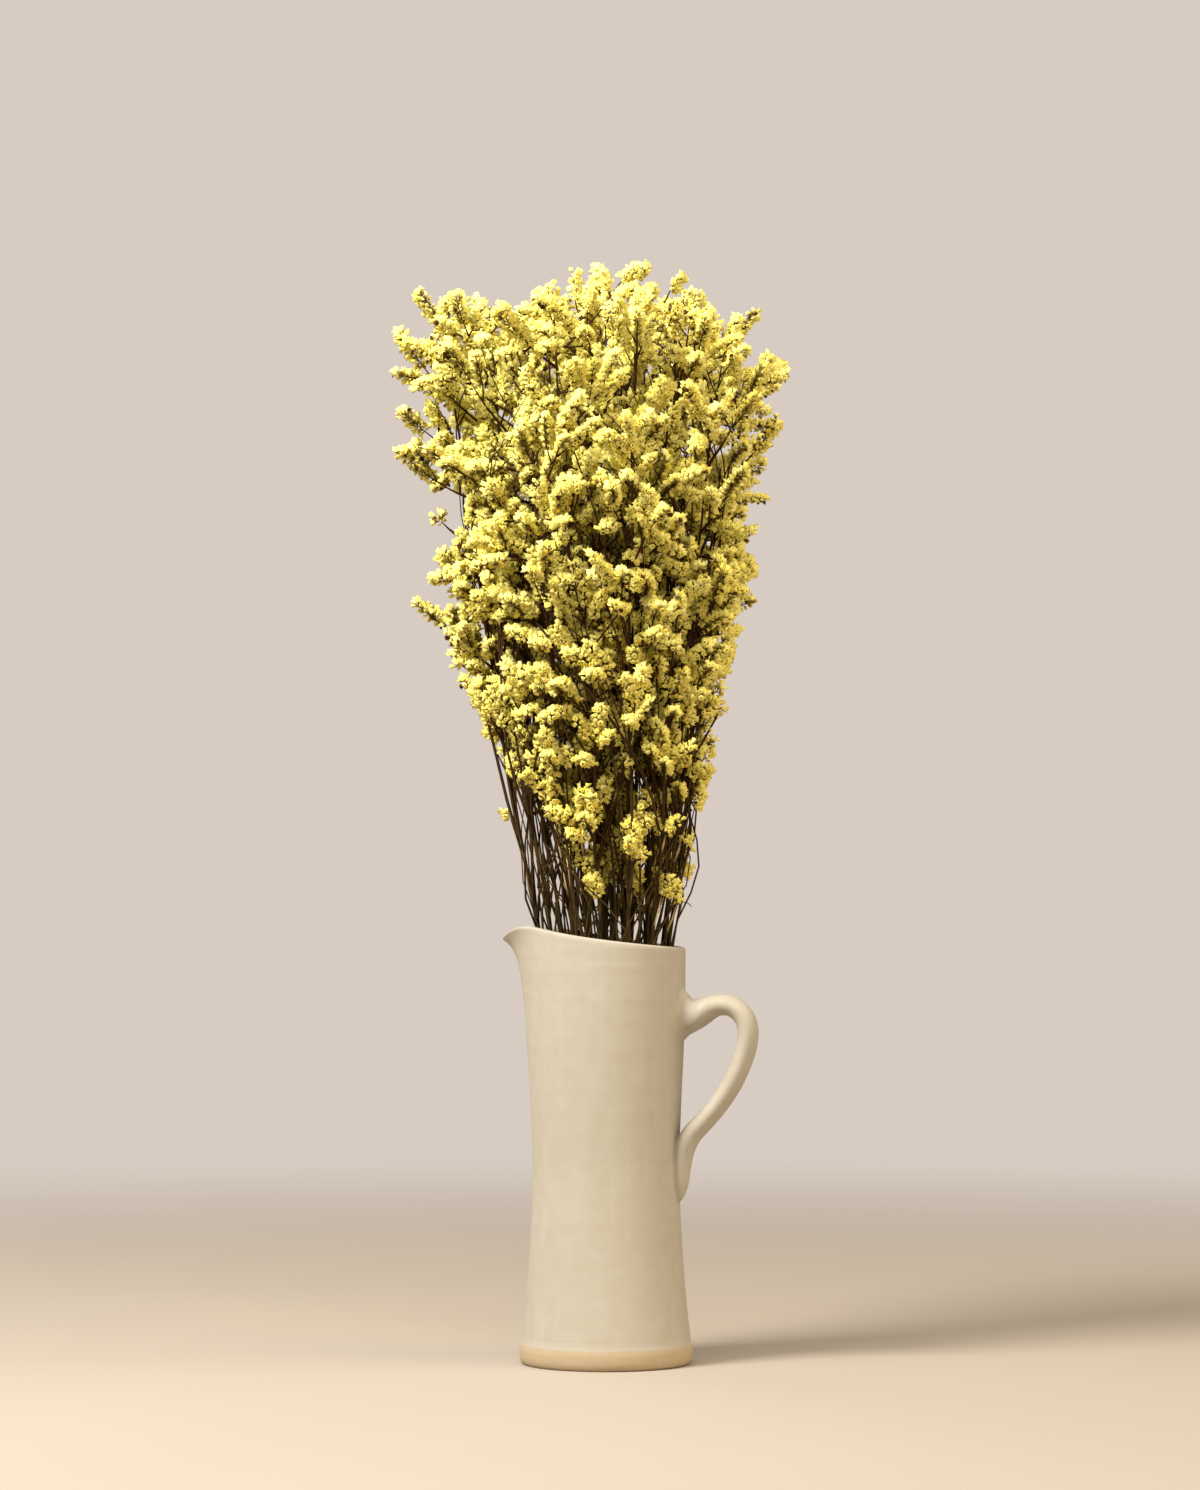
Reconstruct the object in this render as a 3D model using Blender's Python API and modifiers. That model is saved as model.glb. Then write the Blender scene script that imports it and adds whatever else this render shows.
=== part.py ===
"""Dried statice standing in a tall stoneware pitcher, in metres, +Z up.

The pitcher's foot stands at the origin, its handle points along +X and its spout along -X.
The bouquet is a bundle of cut sprays. Each spray is one grown piece: a stem that stands on the
pitcher's floor, side twigs, and a head of florets on the end of the stem and of every twig.
"""

import math
import random

import bmesh
import bpy
import numpy as np
from mathutils import Vector

MM = 0.001

# The pitcher's body, turned and then pulled out of round at the rim.
RIM_HEIGHT = 260.0 * MM
RIM_TILT = 5.2 * MM
RIM_LIFT = 4.6 * MM
WALL = 4.2 * MM
FLOOR = 7.0 * MM
FLOOR_RADIUS = 45.0 * MM
LIP_ROUND = 1.6 * MM
TURN_STEPS = 40
OUTER_PROFILE = [  # height, outer radius
    (0.0, 49.5 * MM),
    (1.2 * MM, 51.9 * MM),
    (4.5 * MM, 53.2 * MM),
    (10.0 * MM, 53.3 * MM),
    (14.0 * MM, 52.3 * MM),
    (36.0 * MM, 49.7 * MM),
    (72.0 * MM, 46.9 * MM),
    (116.0 * MM, 45.2 * MM),
    (154.0 * MM, 46.2 * MM),
    (192.0 * MM, 48.0 * MM),
    (220.0 * MM, 48.8 * MM),
    (240.0 * MM, 49.1 * MM),
]
RIM_RADIUS = 49.2 * MM
INNER_HEIGHTS = [10.0 * MM, 60.0 * MM, 116.0 * MM, 170.0 * MM, 215.0 * MM, 240.0 * MM]
SLOPE_STARTS = 190.0 * MM
SPOUT_REACH = [(7.0 * MM, 4.0 * MM), (11.0 * MM, 28.0 * MM)]  # reach at the lip, depth over which it fades
SPOUT_WIDTH = math.radians(25)
SPOUT_DIP = 9.8 * MM
SPOUT_DIP_WIDTH = math.radians(18)

# The handle's centreline: distance from the pitcher's axis, height, half thickness.
HANDLE_LINE = [
    (45.8 * MM, 212.0 * MM, 16.0 * MM),
    (51.0 * MM, 212.4 * MM, 14.6 * MM),
    (55.4 * MM, 214.0 * MM, 10.4 * MM),
    (62.0 * MM, 216.0 * MM, 8.0 * MM),
    (72.0 * MM, 219.4 * MM, 6.5 * MM),
    (80.0 * MM, 219.4 * MM, 6.3 * MM),
    (86.6 * MM, 216.0 * MM, 6.2 * MM),
    (90.6 * MM, 209.5 * MM, 6.2 * MM),
    (91.0 * MM, 201.0 * MM, 6.2 * MM),
    (88.2 * MM, 188.5 * MM, 6.1 * MM),
    (82.0 * MM, 173.0 * MM, 5.9 * MM),
    (73.5 * MM, 159.3 * MM, 5.9 * MM),
    (62.5 * MM, 147.4 * MM, 6.1 * MM),
    (53.4 * MM, 137.0 * MM, 6.3 * MM),
    (49.4 * MM, 125.0 * MM, 5.7 * MM),
    (47.6 * MM, 112.0 * MM, 5.2 * MM),
    (46.3 * MM, 103.0 * MM, 4.0 * MM),
    (44.9 * MM, 97.0 * MM, 2.6 * MM),
]
HANDLE_BREADTH = 1.5  # breadth over thickness of the grip and the tail
ROOT_BREADTH = 0.85  # the same at the upper root, which is upright
ROOT_REACH = (50.0 * MM, 66.0 * MM)  # distances from the axis where the root ends and the grip starts
ROOT_ABOVE = 180.0 * MM

# The bouquet is arranged as it is seen from the front, with the handle turned a little
# towards the viewer: the picture's right is u, its depth is v.
FRONT_TURN = math.radians(14)
SEED = 6
FOOT_GAP = 0.3 * MM
CLEARANCE = 0.5 * MM
RINGS = [  # stems in the ring, share of the bundle's radius, lowest twig, twig spacing, tops from and to
    (4, 0.26, 470.0 * MM, 26.0 * MM, 626.0 * MM, 640.0 * MM),
    (9, 0.62, 380.0 * MM, 26.0 * MM, 580.0 * MM, 640.0 * MM),
    (15, 0.96, 290.0 * MM, 21.5 * MM, 375.0 * MM, 632.0 * MM),
]
BARE_SPREAD = 55.0 * MM  # how much higher than its ring's lowest twig a stem may begin to branch
ANGLE_PLAY = 0.16  # how far a stem may stand from its even place, in spacings
SHARE_PLAY = 0.03
GOLDEN = 0.618034  # spreads the tops of a ring evenly over their range
STRAYS = [  # root height and splay of the twigs that stick out on the viewer's left
    (438.0 * MM, 66.0),
    (415.0 * MM, 60.0),
]
STRAY_TWIG = 22.0 * MM
BUNDLE_RADIUS = [  # height, radius of the bundle of stems
    (FLOOR, 17.0 * MM),
    (130.0 * MM, 27.0 * MM),
    (259.0 * MM, 42.0 * MM),
    (300.0 * MM, 49.0 * MM),
    (348.0 * MM, 57.0 * MM),
    (400.0 * MM, 63.0 * MM),
    (450.0 * MM, 69.0 * MM),
    (520.0 * MM, 79.0 * MM),
    (600.0 * MM, 90.0 * MM),
    (680.0 * MM, 95.0 * MM),
]
HEAD_REACH = [  # height, how far out the floret heads reach
    (290.0 * MM, 55.0 * MM),
    (350.0 * MM, 70.0 * MM),
    (400.0 * MM, 82.0 * MM),
    (450.0 * MM, 94.0 * MM),
    (500.0 * MM, 105.0 * MM),
    (560.0 * MM, 120.0 * MM),
    (610.0 * MM, 125.0 * MM),
    (640.0 * MM, 122.0 * MM),
    (660.0 * MM, 112.0 * MM),
    (672.0 * MM, 98.0 * MM),
    (681.0 * MM, 80.0 * MM),
]
LEAN = [  # height, how far the bundle leans to the viewer's left
    (259.0 * MM, 0.0),
    (420.0 * MM, -5.0 * MM),
    (600.0 * MM, -10.0 * MM),
]
STEM_STEP = 66.0 * MM
STEM_KINK = 1.6 * MM
STEM_THICK = 1.6 * MM
STEM_THIN = 1.0 * MM
TWIG_ROOT = 0.9 * MM
TWIG_NECK = 0.8 * MM
TWIG_LENGTH = (8.0 * MM, 48.0 * MM)
TWIG_SPLAY = (24.0, 80.0)  # degrees from the stem at the twig's root
TWIG_BEND = 24.0  # degrees that a twig turns back towards the light
TWIG_FAN = 1.5  # radians to either side of straight outwards, for the outer stems
TWIG_TWIST = 0.4  # radians that a twig swings sideways
HIGHEST_ROOT = 4.0 * MM  # below the stem's top
STEM_HEAD_TILT = 30.0  # most degrees that a stem's own head leans
TRIES = 40

# A floret head: rings of four points, every other one raised to a floret.
SIDES = 4
HEAD_LENGTH = 46.0 * MM
HEAD_SWELL = [0.8, 1.04, 1.04, 0.98, 0.76]
FLORET_HIGH = 10.7 * MM
FLORET_LOW = 6.3 * MM
HEAD_SOLID = 9.7 * MM  # radius that a head keeps clear for itself
HEAD_SIZES = (1.0, 0.85, 0.7)  # a smaller head is tried where no larger one fits
HEAD_VARIES = (0.85, 1.12)
FLORET_VARIES = (0.9, 1.08)
OWN_OVERLAP = 0.5 * MM  # how far two heads of one spray may grow into each other
ROOM_ENOUGH = 12.0 * MM  # a gap to the next head that counts as free
EDGE_PULL = 0.45  # how strongly twigs seek the outside of the bouquet


def clear_scene():
    for item in list(bpy.data.objects):
        bpy.data.objects.remove(item, do_unlink=True)


def new_collection(name):
    collection = bpy.data.collections.new(name)
    bpy.context.scene.collection.children.link(collection)
    return collection


def new_material(name, colour, roughness):
    material = bpy.data.materials.new(name)
    material.use_nodes = True
    shader = material.node_tree.nodes["Principled BSDF"]
    shader.inputs["Base Color"].default_value = (*colour, 1.0)
    shader.inputs["Roughness"].default_value = roughness
    shader.inputs["Metallic"].default_value = 0.0
    return material


def new_object(name, mesh, collection, materials=()):
    item = bpy.data.objects.new(name, mesh)
    collection.objects.link(item)
    for material in materials:
        mesh.materials.append(material)
    return item


def applied_mesh(item):
    """The object's mesh with its modifiers applied, welded and in world space."""
    graph = bpy.context.evaluated_depsgraph_get()
    mesh = bpy.data.meshes.new_from_object(item.evaluated_get(graph))
    mesh.transform(item.matrix_world)
    work = bmesh.new()
    work.from_mesh(mesh)
    bmesh.ops.remove_doubles(work, verts=work.verts, dist=0.000001)
    work.to_mesh(mesh)
    work.free()
    return mesh


def read_table(table, at):
    """Straight interpolation in a list of (place, value), flat beyond its ends."""
    if at <= table[0][0]:
        return table[0][1]
    for (low, value), (high, following) in zip(table, table[1:]):
        if at <= high:
            return value + (following - value) * (at - low) / (high - low)
    return table[-1][1]


def bell(offset, width):
    return math.exp(-((offset / width) ** 2))


def pitcher_profile():
    """Half section of the pot: up its inside, over the lip, down its outside, to the foot."""
    inner = [(0.0, FLOOR), (FLOOR_RADIUS, FLOOR)]
    inner += [(read_table(OUTER_PROFILE, height) - WALL, height) for height in INNER_HEIGHTS]
    lip = [
        (RIM_RADIUS - WALL, RIM_HEIGHT - LIP_ROUND),
        (RIM_RADIUS - WALL / 2, RIM_HEIGHT),
        (RIM_RADIUS, RIM_HEIGHT - LIP_ROUND),
    ]
    outer = [(radius, height) for height, radius in reversed(OUTER_PROFILE)]
    return inner + lip + outer + [(0.0, 0.0)]


def turned_pot(collection):
    mesh = bpy.data.meshes.new("pot_profile")
    points = [(radius, 0.0, height) for radius, height in pitcher_profile()]
    mesh.from_pydata(points, [(i, i + 1) for i in range(len(points) - 1)], [])
    pot = new_object("pot_profile", mesh, collection)
    screw = pot.modifiers.new("Turn", "SCREW")
    screw.axis = "Z"
    screw.angle = math.tau
    screw.steps = TURN_STEPS
    screw.render_steps = TURN_STEPS
    screw.use_merge_vertices = True
    screw.merge_threshold = 0.0001
    return pot


def rim_height(from_spout):
    """Height of the lip at an angle from the spout: it climbs to the spout and dips in it."""
    towards = math.cos(from_spout)
    climb = RIM_TILT * towards + RIM_LIFT * ((1 + towards) / 2) ** 3
    return RIM_HEIGHT + climb - SPOUT_DIP * bell(from_spout, SPOUT_DIP_WIDTH)


def pull_rim_and_spout(mesh):
    """Slopes the rim and draws the spout out of the round pot."""
    for vertex in mesh.vertices:
        x, y, z = vertex.co
        radius = math.hypot(x, y)
        if z <= SLOPE_STARTS or radius < 1.0 * MM:
            continue
        from_spout = math.atan2(y, -x)
        share = (z - SLOPE_STARTS) / (RIM_HEIGHT - SLOPE_STARTS)
        lip = rim_height(from_spout)
        height = z + (lip - RIM_HEIGHT) * share ** 2
        reach = sum(far * math.exp(-max(lip - height, 0.0) / fade) for far, fade in SPOUT_REACH)
        stretch = 1 + reach * bell(from_spout, SPOUT_WIDTH) / radius
        vertex.co = (x * stretch, y * stretch, height)


def handle_breadth(distance, height):
    """Breadth over thickness: the upper root is upright, the grip and the tail are a flat oval."""
    if height < ROOT_ABOVE:
        return HANDLE_BREADTH
    near, far = ROOT_REACH
    share = min(max((distance - near) / (far - near), 0.0), 1.0)
    return ROOT_BREADTH + (HANDLE_BREADTH - ROOT_BREADTH) * share


def handle_mesh(collection):
    """The handle as one tapered tube, its round section then widened sideways to an oval."""
    curve = bpy.data.curves.new("handle_line", "CURVE")
    curve.dimensions = "3D"
    curve.bevel_depth = 1.0
    curve.bevel_resolution = 2
    curve.use_fill_caps = True
    spline = curve.splines.new("POLY")
    spline.points.add(len(HANDLE_LINE) - 1)
    for point, (distance, height, thickness) in zip(spline.points, HANDLE_LINE):
        point.co = (distance, 0.0, height, 1.0)
        point.radius = thickness
    line = new_object("handle_line", curve, collection)
    mesh = applied_mesh(line)
    bpy.data.objects.remove(line, do_unlink=True)
    for vertex in mesh.vertices:
        vertex.co.y *= handle_breadth(vertex.co.x, vertex.co.z)
    return mesh


def drop_scraps(mesh):
    """Keeps the largest shell: a union can leave a crumb where two pieces graze each other."""
    work = bmesh.new()
    work.from_mesh(mesh)
    left = set(work.faces)
    shells = []
    while left:
        shell = []
        edge_of_shell = [left.pop()]
        while edge_of_shell:
            face = edge_of_shell.pop()
            shell.append(face)
            around = {other for edge in face.edges for other in edge.link_faces} & left
            left -= around
            edge_of_shell += around
        shells.append(shell)
    shells.sort(key=len)
    scraps = [face for shell in shells[:-1] for face in shell]
    bmesh.ops.delete(work, geom=scraps, context="FACES")
    work.to_mesh(mesh)
    work.free()


def join(base, collection):
    """Fuses everything in the collection into the base object and removes the pieces."""
    union = base.modifiers.new("Join", "BOOLEAN")
    union.operation = "UNION"
    union.operand_type = "COLLECTION"
    union.collection = collection
    union.solver = "EXACT"
    mesh = applied_mesh(base)
    drop_scraps(mesh)
    for item in list(collection.objects):
        bpy.data.objects.remove(item, do_unlink=True)
    return mesh


def make_pitcher(collection, tools):
    glaze = new_material("cream_stoneware", (0.73, 0.62, 0.43), 0.55)
    turned = turned_pot(tools)
    mesh = applied_mesh(turned)
    bpy.data.objects.remove(turned, do_unlink=True)
    pull_rim_and_spout(mesh)
    pot = new_object("pot", mesh, tools, [glaze])
    parts = new_collection("pitcher_parts")
    handle = new_object("handle", handle_mesh(parts), parts, [glaze])
    handle.hide_render = True
    handle.display_type = "WIRE"
    joined = join(pot, parts)
    bpy.data.objects.remove(pot, do_unlink=True)
    joined.shade_smooth()
    joined.set_sharp_from_angle(angle=math.radians(40))
    new_object("pitcher", joined, collection)


def bundle_point(share, angle, height):
    """Where a stem of the bundle passes a height, in picture coordinates."""
    radius = share * read_table(BUNDLE_RADIUS, height)
    lean = read_table(LEAN, height)
    return Vector((radius * math.cos(angle) + lean, radius * math.sin(angle), height))


def head_radii(head, size, rng):
    """For every ring of a head the reach of its high and its low corners, a little uneven."""
    if not head:
        return []
    return [
        (FLORET_HIGH * size * swell * rng.uniform(*FLORET_VARIES), FLORET_LOW * size * swell)
        for swell in HEAD_SWELL
    ]


class Spray:
    """A stem with its twigs; a strand is a list of centreline points with radii."""

    def __init__(self, share, angle, lowest, spacing, top):
        self.share = share
        self.angle = angle
        self.lowest = lowest
        self.spacing = spacing
        self.top = top
        self.strands = []

    def twig_heights(self):
        count = max(round((self.top - self.lowest) / self.spacing), 1)
        step = (self.top - self.lowest) / count
        return [self.lowest + (i + 0.5) * step for i in range(count)]

    def grow_stem(self, rng):
        free = self.top - RIM_HEIGHT
        steps = max(round(free / STEM_STEP), 2)
        heights = [FLOOR + FOOT_GAP, RIM_HEIGHT / 2, RIM_HEIGHT]
        heights += [RIM_HEIGHT + free * (i + 1) / steps for i in range(steps)]
        self.stem = [bundle_point(self.share, self.angle, height) for height in heights]
        for point in self.stem[3:]:
            kink = rng.uniform(0, math.tau)
            point += Vector((math.cos(kink), math.sin(kink), 0.0)) * STEM_KINK

    def add_stem_strand(self, head, size, rng):
        """The stem from foot to top, going on into its head where it has one."""
        steps = len(self.stem) - 1
        taper = [(point.z - FLOOR) / (self.top - FLOOR) for point in self.stem]
        radii = [STEM_THICK + (STEM_THIN - STEM_THICK) * share for share in taper]
        self.strands.append((self.stem + head, radii + head_radii(head, size, rng), steps))

    def add_twig_strand(self, points, size, rng):
        head = points[2:]
        radii = [TWIG_ROOT, TWIG_NECK] + head_radii(head, size, rng)
        self.strands.append((points, radii, 1))

    def stem_at(self, height):
        for low, high in zip(self.stem, self.stem[1:]):
            if low.z <= height <= high.z:
                return low.lerp(high, (height - low.z) / (high.z - low.z))
        return self.stem[-1].copy()


class Crowd:
    """Everything that already stands in the bouquet, as rods with a radius and an owner."""

    def __init__(self):
        self.starts = []
        self.ends = []
        self.radii = []
        self.owners = []
        self.heads = []
        self.arrays = None

    def add(self, owner, points, radii, is_head):
        for (a, b), (r, s) in zip(zip(points, points[1:]), zip(radii, radii[1:])):
            self.starts.append(tuple(a))
            self.ends.append(tuple(b))
            self.radii.append(max(r, s))
            self.owners.append(owner)
            self.heads.append(is_head)
        self.arrays = None

    def packed(self):
        if self.arrays is None:
            lists = (self.starts, self.ends, self.radii, self.owners, self.heads)
            self.arrays = tuple(np.array(values) for values in lists)
        return self.arrays

    def distances(self, a, b):
        """Least distance from the rod a to b to the centreline of every rod in the crowd."""
        starts, ends = self.packed()[:2]
        a = np.array(a)
        along = np.array(b) - a
        other = ends - starts
        offset = a - starts
        own = along @ along
        theirs = (other * other).sum(axis=1)
        cross = other @ along
        near = offset @ along
        far = (other * offset).sum(axis=1)
        spread = np.maximum(own * theirs - cross * cross, 1e-18)
        s = np.clip((cross * far - near * theirs) / spread, 0, 1)
        t = np.clip((cross * s + far) / theirs, 0, 1)
        s = np.clip((cross * t - near) / own, 0, 1)
        gap = offset + s[:, None] * along - t[:, None] * other
        return np.sqrt((gap * gap).sum(axis=1))


def direction(tilt, azimuth):
    tilt = math.radians(tilt)
    return Vector((math.sin(tilt) * math.cos(azimuth), math.sin(tilt) * math.sin(azimuth), math.cos(tilt)))


def bent_line(start, first, last, length, stations):
    """Points along a line that leaves in one direction and turns evenly into another."""
    points = [start.copy()]
    done = 0.0
    for station in stations:
        middle = (done + station) / 2
        heading = first.lerp(last, middle).normalized()
        points.append(points[-1] + heading * (station - done) * length)
        done = station
    return points


def depth_inside(point):
    """How far a point lies inside the outline that the heads fill."""
    away = math.hypot(point.x - read_table(LEAN, point.z), point.y)
    return min(read_table(HEAD_REACH, point.z) - away, HEAD_REACH[-1][0] - point.z)


def inside_reach(point, radius):
    return point.z > HEAD_REACH[0][0] and depth_inside(point) >= radius


def head_stations():
    """Where a head's rings and its tip lie along it, from 0 to 1."""
    rings = len(HEAD_SWELL)
    return [(i + 0.5) / (rings + 0.3) for i in range(rings)] + [1.0]


def propose_head(spray, size, rng):
    """The stem's own head, leaning outwards a little from its top."""
    upward = (spray.stem[-1] - spray.stem[-2]).normalized()
    azimuth = spray.angle + rng.uniform(-TWIG_FAN, TWIG_FAN)
    last = direction(rng.uniform(0, STEM_HEAD_TILT), azimuth)
    length = HEAD_LENGTH * size * rng.uniform(*HEAD_VARIES)
    return bent_line(spray.stem[-1], upward, last, length, head_stations())


def twig_line(root, azimuth, splay, twig, head, rng):
    """A twig with its head, as centreline points: root, neck, the head's rings, its tip."""
    length = twig + head
    first = direction(splay, azimuth)
    last = direction(splay - TWIG_BEND, azimuth + rng.uniform(-TWIG_TWIST, TWIG_TWIST))
    stations = [twig * 0.92 / length]
    stations += [(twig + head * station) / length for station in head_stations()]
    return bent_line(root, first, last, length, stations)


def propose_twig(spray, height, size, rng):
    outer = spray.share > 0.5
    fan = TWIG_FAN if outer else math.pi
    azimuth = spray.angle + rng.uniform(-fan, fan)
    splay = rng.uniform(*TWIG_SPLAY)
    twig = rng.uniform(*TWIG_LENGTH) * size
    head = HEAD_LENGTH * rng.uniform(*HEAD_VARIES) * size
    root = min(height + rng.uniform(-0.6, 0.6) * spray.spacing, spray.top - HIGHEST_ROOT)
    return twig_line(spray.stem_at(root), azimuth, splay, twig, head, rng)


def rate_strand(neck, head, size, owner, crowd):
    """How freely a neck and a head stand, or None where they would touch another spray."""
    radii, owners, heads = crowd.packed()[2:]
    foreign = owners != owner
    own_heads = heads & ~foreign
    room = ROOM_ENOUGH
    middle = head[len(head) // 2]
    if neck:
        gaps = crowd.distances(*neck) - radii - TWIG_ROOT
        if gaps[foreign].min() < CLEARANCE:
            return None
    for a, b in ((head[0], middle), (middle, head[-1])):
        gaps = crowd.distances(a, b) - radii - HEAD_SOLID * size
        if gaps[foreign].min() < CLEARANCE:
            return None
        if own_heads.any() and gaps[own_heads].min() < -OWN_OVERLAP:
            return None
        if heads.any():
            room = min(room, gaps[heads].min())
    return room


def grow_stem_head(spray, owner, crowd, rng):
    """The freest of many proposed heads for the stem's top, with its size, or None."""
    for size in HEAD_SIZES:
        best = None
        for attempt in range(TRIES):
            points = propose_head(spray, size, rng)
            if not inside_reach(points[-1], 0.0):
                continue
            rating = rate_strand(None, points, size, owner, crowd)
            if rating is not None and (best is None or rating > best[0]):
                best = (rating, points)
        if best:
            return best[1], size
    return None


def grow_twig(spray, height, owner, crowd, rng):
    """The best of many proposed twigs near a height of the stem, with its size, or None."""
    for size in HEAD_SIZES:
        best = None
        for attempt in range(TRIES):
            points = propose_twig(spray, height, size, rng)
            if not (inside_reach(points[-1], 0.0) and inside_reach(points[-4], HEAD_SOLID * size)):
                continue
            rating = rate_strand(points[:2], points[1:], size, owner, crowd)
            if rating is None:
                continue
            rating -= EDGE_PULL * depth_inside(points[-1])
            if best is None or rating > best[0]:
                best = (rating, points)
        if best:
            return best[1], size
    return None


def plant_stems(rng):
    """The bare stems, ring by ring, each ring's tops spread over its range of heights."""
    sprays = []
    for count, share, lowest, spacing, top_from, top_to in RINGS:
        turn = rng.uniform(0, math.tau)
        for i in range(count):
            angle = turn + math.tau * (i + rng.uniform(-ANGLE_PLAY, ANGLE_PLAY)) / count
            top = top_from + (top_to - top_from) * (((i + 1) * GOLDEN) % 1.0)
            bare = lowest + rng.uniform(0, BARE_SPREAD)
            place = share + rng.uniform(-SHARE_PLAY, SHARE_PLAY)
            spray = Spray(place, angle, bare, spacing, top)
            spray.grow_stem(rng)
            sprays.append(spray)
    return sprays


def keep_twig(spray, owner, points, size, crowd, rng):
    spray.add_twig_strand(points, size, rng)
    crowd.add(owner, points[:2], [TWIG_ROOT] * 2, False)
    crowd.add(owner, points[1:], [HEAD_SOLID * size] * (len(points) - 1), True)


def grow_strays(sprays, crowd, rng):
    """The long twigs that stick out on the left, on the tall outer stem that stands nearest there."""
    outer = sprays[-RINGS[-1][0]:]
    tall = [spray for spray in outer if spray.top > STRAYS[0][0] + HEAD_LENGTH]
    spray = min(tall, key=lambda one: math.cos(one.angle))
    for root, splay in STRAYS:
        points = twig_line(spray.stem_at(root), math.pi, splay, STRAY_TWIG, HEAD_LENGTH, rng)
        keep_twig(spray, sprays.index(spray), points, 1.0, crowd, rng)


def grow_bouquet():
    """All the sprays of the bouquet, none of them touching another."""
    rng = random.Random(SEED)
    sprays = plant_stems(rng)
    crowd = Crowd()
    for owner, spray in enumerate(sprays):
        crowd.add(owner, spray.stem, [STEM_THICK] * len(spray.stem), False)
    for owner, spray in enumerate(sprays):
        head, size = grow_stem_head(spray, owner, crowd, rng) or ([], 1.0)
        spray.add_stem_strand(head[1:], size, rng)
        if head:
            crowd.add(owner, head, [HEAD_SOLID * size] * len(head), True)
    grow_strays(sprays, crowd, rng)
    slots = [(height, owner) for owner, spray in enumerate(sprays) for height in spray.twig_heights()]
    for height, owner in sorted(slots, reverse=True):
        found = grow_twig(sprays[owner], height, owner, crowd, rng)
        if found:
            keep_twig(sprays[owner], owner, *found, crowd, rng)
    return sprays


def turned_to_front(point):
    """From picture coordinates to the pitcher's own."""
    turn, rise = math.cos(FRONT_TURN), math.sin(FRONT_TURN)
    return Vector((point.x * turn - point.y * rise, point.x * rise + point.y * turn, point.z))


def strand_mesh(name, rings, tip, head_from):
    """A loft through rings of four points; quads of the head are split between their low points."""
    work = bmesh.new()
    bark, florets = 0, 1
    loops = [[work.verts.new(turned_to_front(point)) for point in ring] for ring in rings]
    work.faces.new(list(reversed(loops[0]))).material_index = bark
    for k, (low, high) in enumerate(zip(loops, loops[1:])):
        for j in range(SIDES):
            n = (j + 1) % SIDES
            a, b, c, d = low[j], low[n], high[n], high[j]
            corners = ((a, b, c), (a, c, d)) if (j + k) % 2 else ((a, b, d), (b, c, d))
            for corner in corners:
                face = work.faces.new(corner)
                face.material_index = florets if k >= head_from else bark
    if tip is None:
        work.faces.new(loops[-1]).material_index = bark
    else:
        end = work.verts.new(turned_to_front(tip))
        for j in range(SIDES):
            face = work.faces.new((loops[-1][j], loops[-1][(j + 1) % SIDES], end))
            face.material_index = florets
    mesh = bpy.data.meshes.new(name)
    work.to_mesh(mesh)
    work.free()
    return mesh


def strand_rings(points, radii):
    """A ring of corners round every point; a radius is a number, or a pair (high, low)."""
    rings = []
    side = None
    for k, (point, radius) in enumerate(zip(points, radii)):
        ahead = points[min(k + 1, len(points) - 1)]
        behind = points[max(k - 1, 0)]
        along = (ahead - behind).normalized()
        if side is None:
            side = along.orthogonal().normalized()
        side = (side - along * side.dot(along)).normalized()
        across = along.cross(side)
        ring = []
        for j in range(SIDES):
            reach = radius if isinstance(radius, float) else radius[(j + k) % 2]
            turn = math.tau * j / SIDES
            ring.append(point + (side * math.cos(turn) + across * math.sin(turn)) * reach)
        rings.append(ring)
    return rings


def cut_level(ring, height):
    """A stem's foot is cut level, so that it stands flat on the pitcher's floor."""
    return [Vector((corner.x, corner.y, height)) for corner in ring]


def make_spray(spray, name, collection, tools, materials):
    """The stem with its head, and every twig fused to it."""
    objects = []
    for i, (points, radii, head_from) in enumerate(spray.strands):
        rings = strand_rings(points[:-1], radii)
        if i == 0:
            rings[0] = cut_level(rings[0], FLOOR + FOOT_GAP)
        mesh = strand_mesh(f"{name}_strand_{i}", rings, points[-1], head_from)
        objects.append(new_object(mesh.name, mesh, tools, materials))
    stem, twigs = objects[0], objects[1:]
    parts = new_collection(f"{name}_parts")
    for twig in twigs:
        tools.objects.unlink(twig)
        parts.objects.link(twig)
    mesh = join(stem, parts) if twigs else applied_mesh(stem)
    bpy.data.objects.remove(stem, do_unlink=True)
    mesh.name = name
    new_object(name, mesh, collection)


def make_bouquet(collection, tools):
    bark = new_material("brown_stem", (0.062, 0.038, 0.02), 0.75)
    florets = new_material("yellow_florets", (0.8, 0.66, 0.14), 0.85)
    for number, spray in enumerate(grow_bouquet(), start=1):
        make_spray(spray, f"spray_{number:02d}", collection, tools, [bark, florets])


def main():
    clear_scene()
    statice = new_collection("dried_statice")
    tools = new_collection("construction")
    make_pitcher(statice, tools)
    make_bouquet(statice, tools)


main()
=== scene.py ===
# %% [markdown]
# Dried statice in a stoneware pitcher
#
# The real object is a bunch of dried yellow statice that stands in a tall cream pitcher. This
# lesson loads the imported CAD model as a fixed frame, and then dresses it: a finer pitcher with
# a matte glaze, and for every cut spray its brown stems and its thousands of papery florets.

# %% Load the frame
import math
import random

import bmesh
import bpy
import numpy as np
from mathutils import Matrix, Vector, noise


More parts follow.
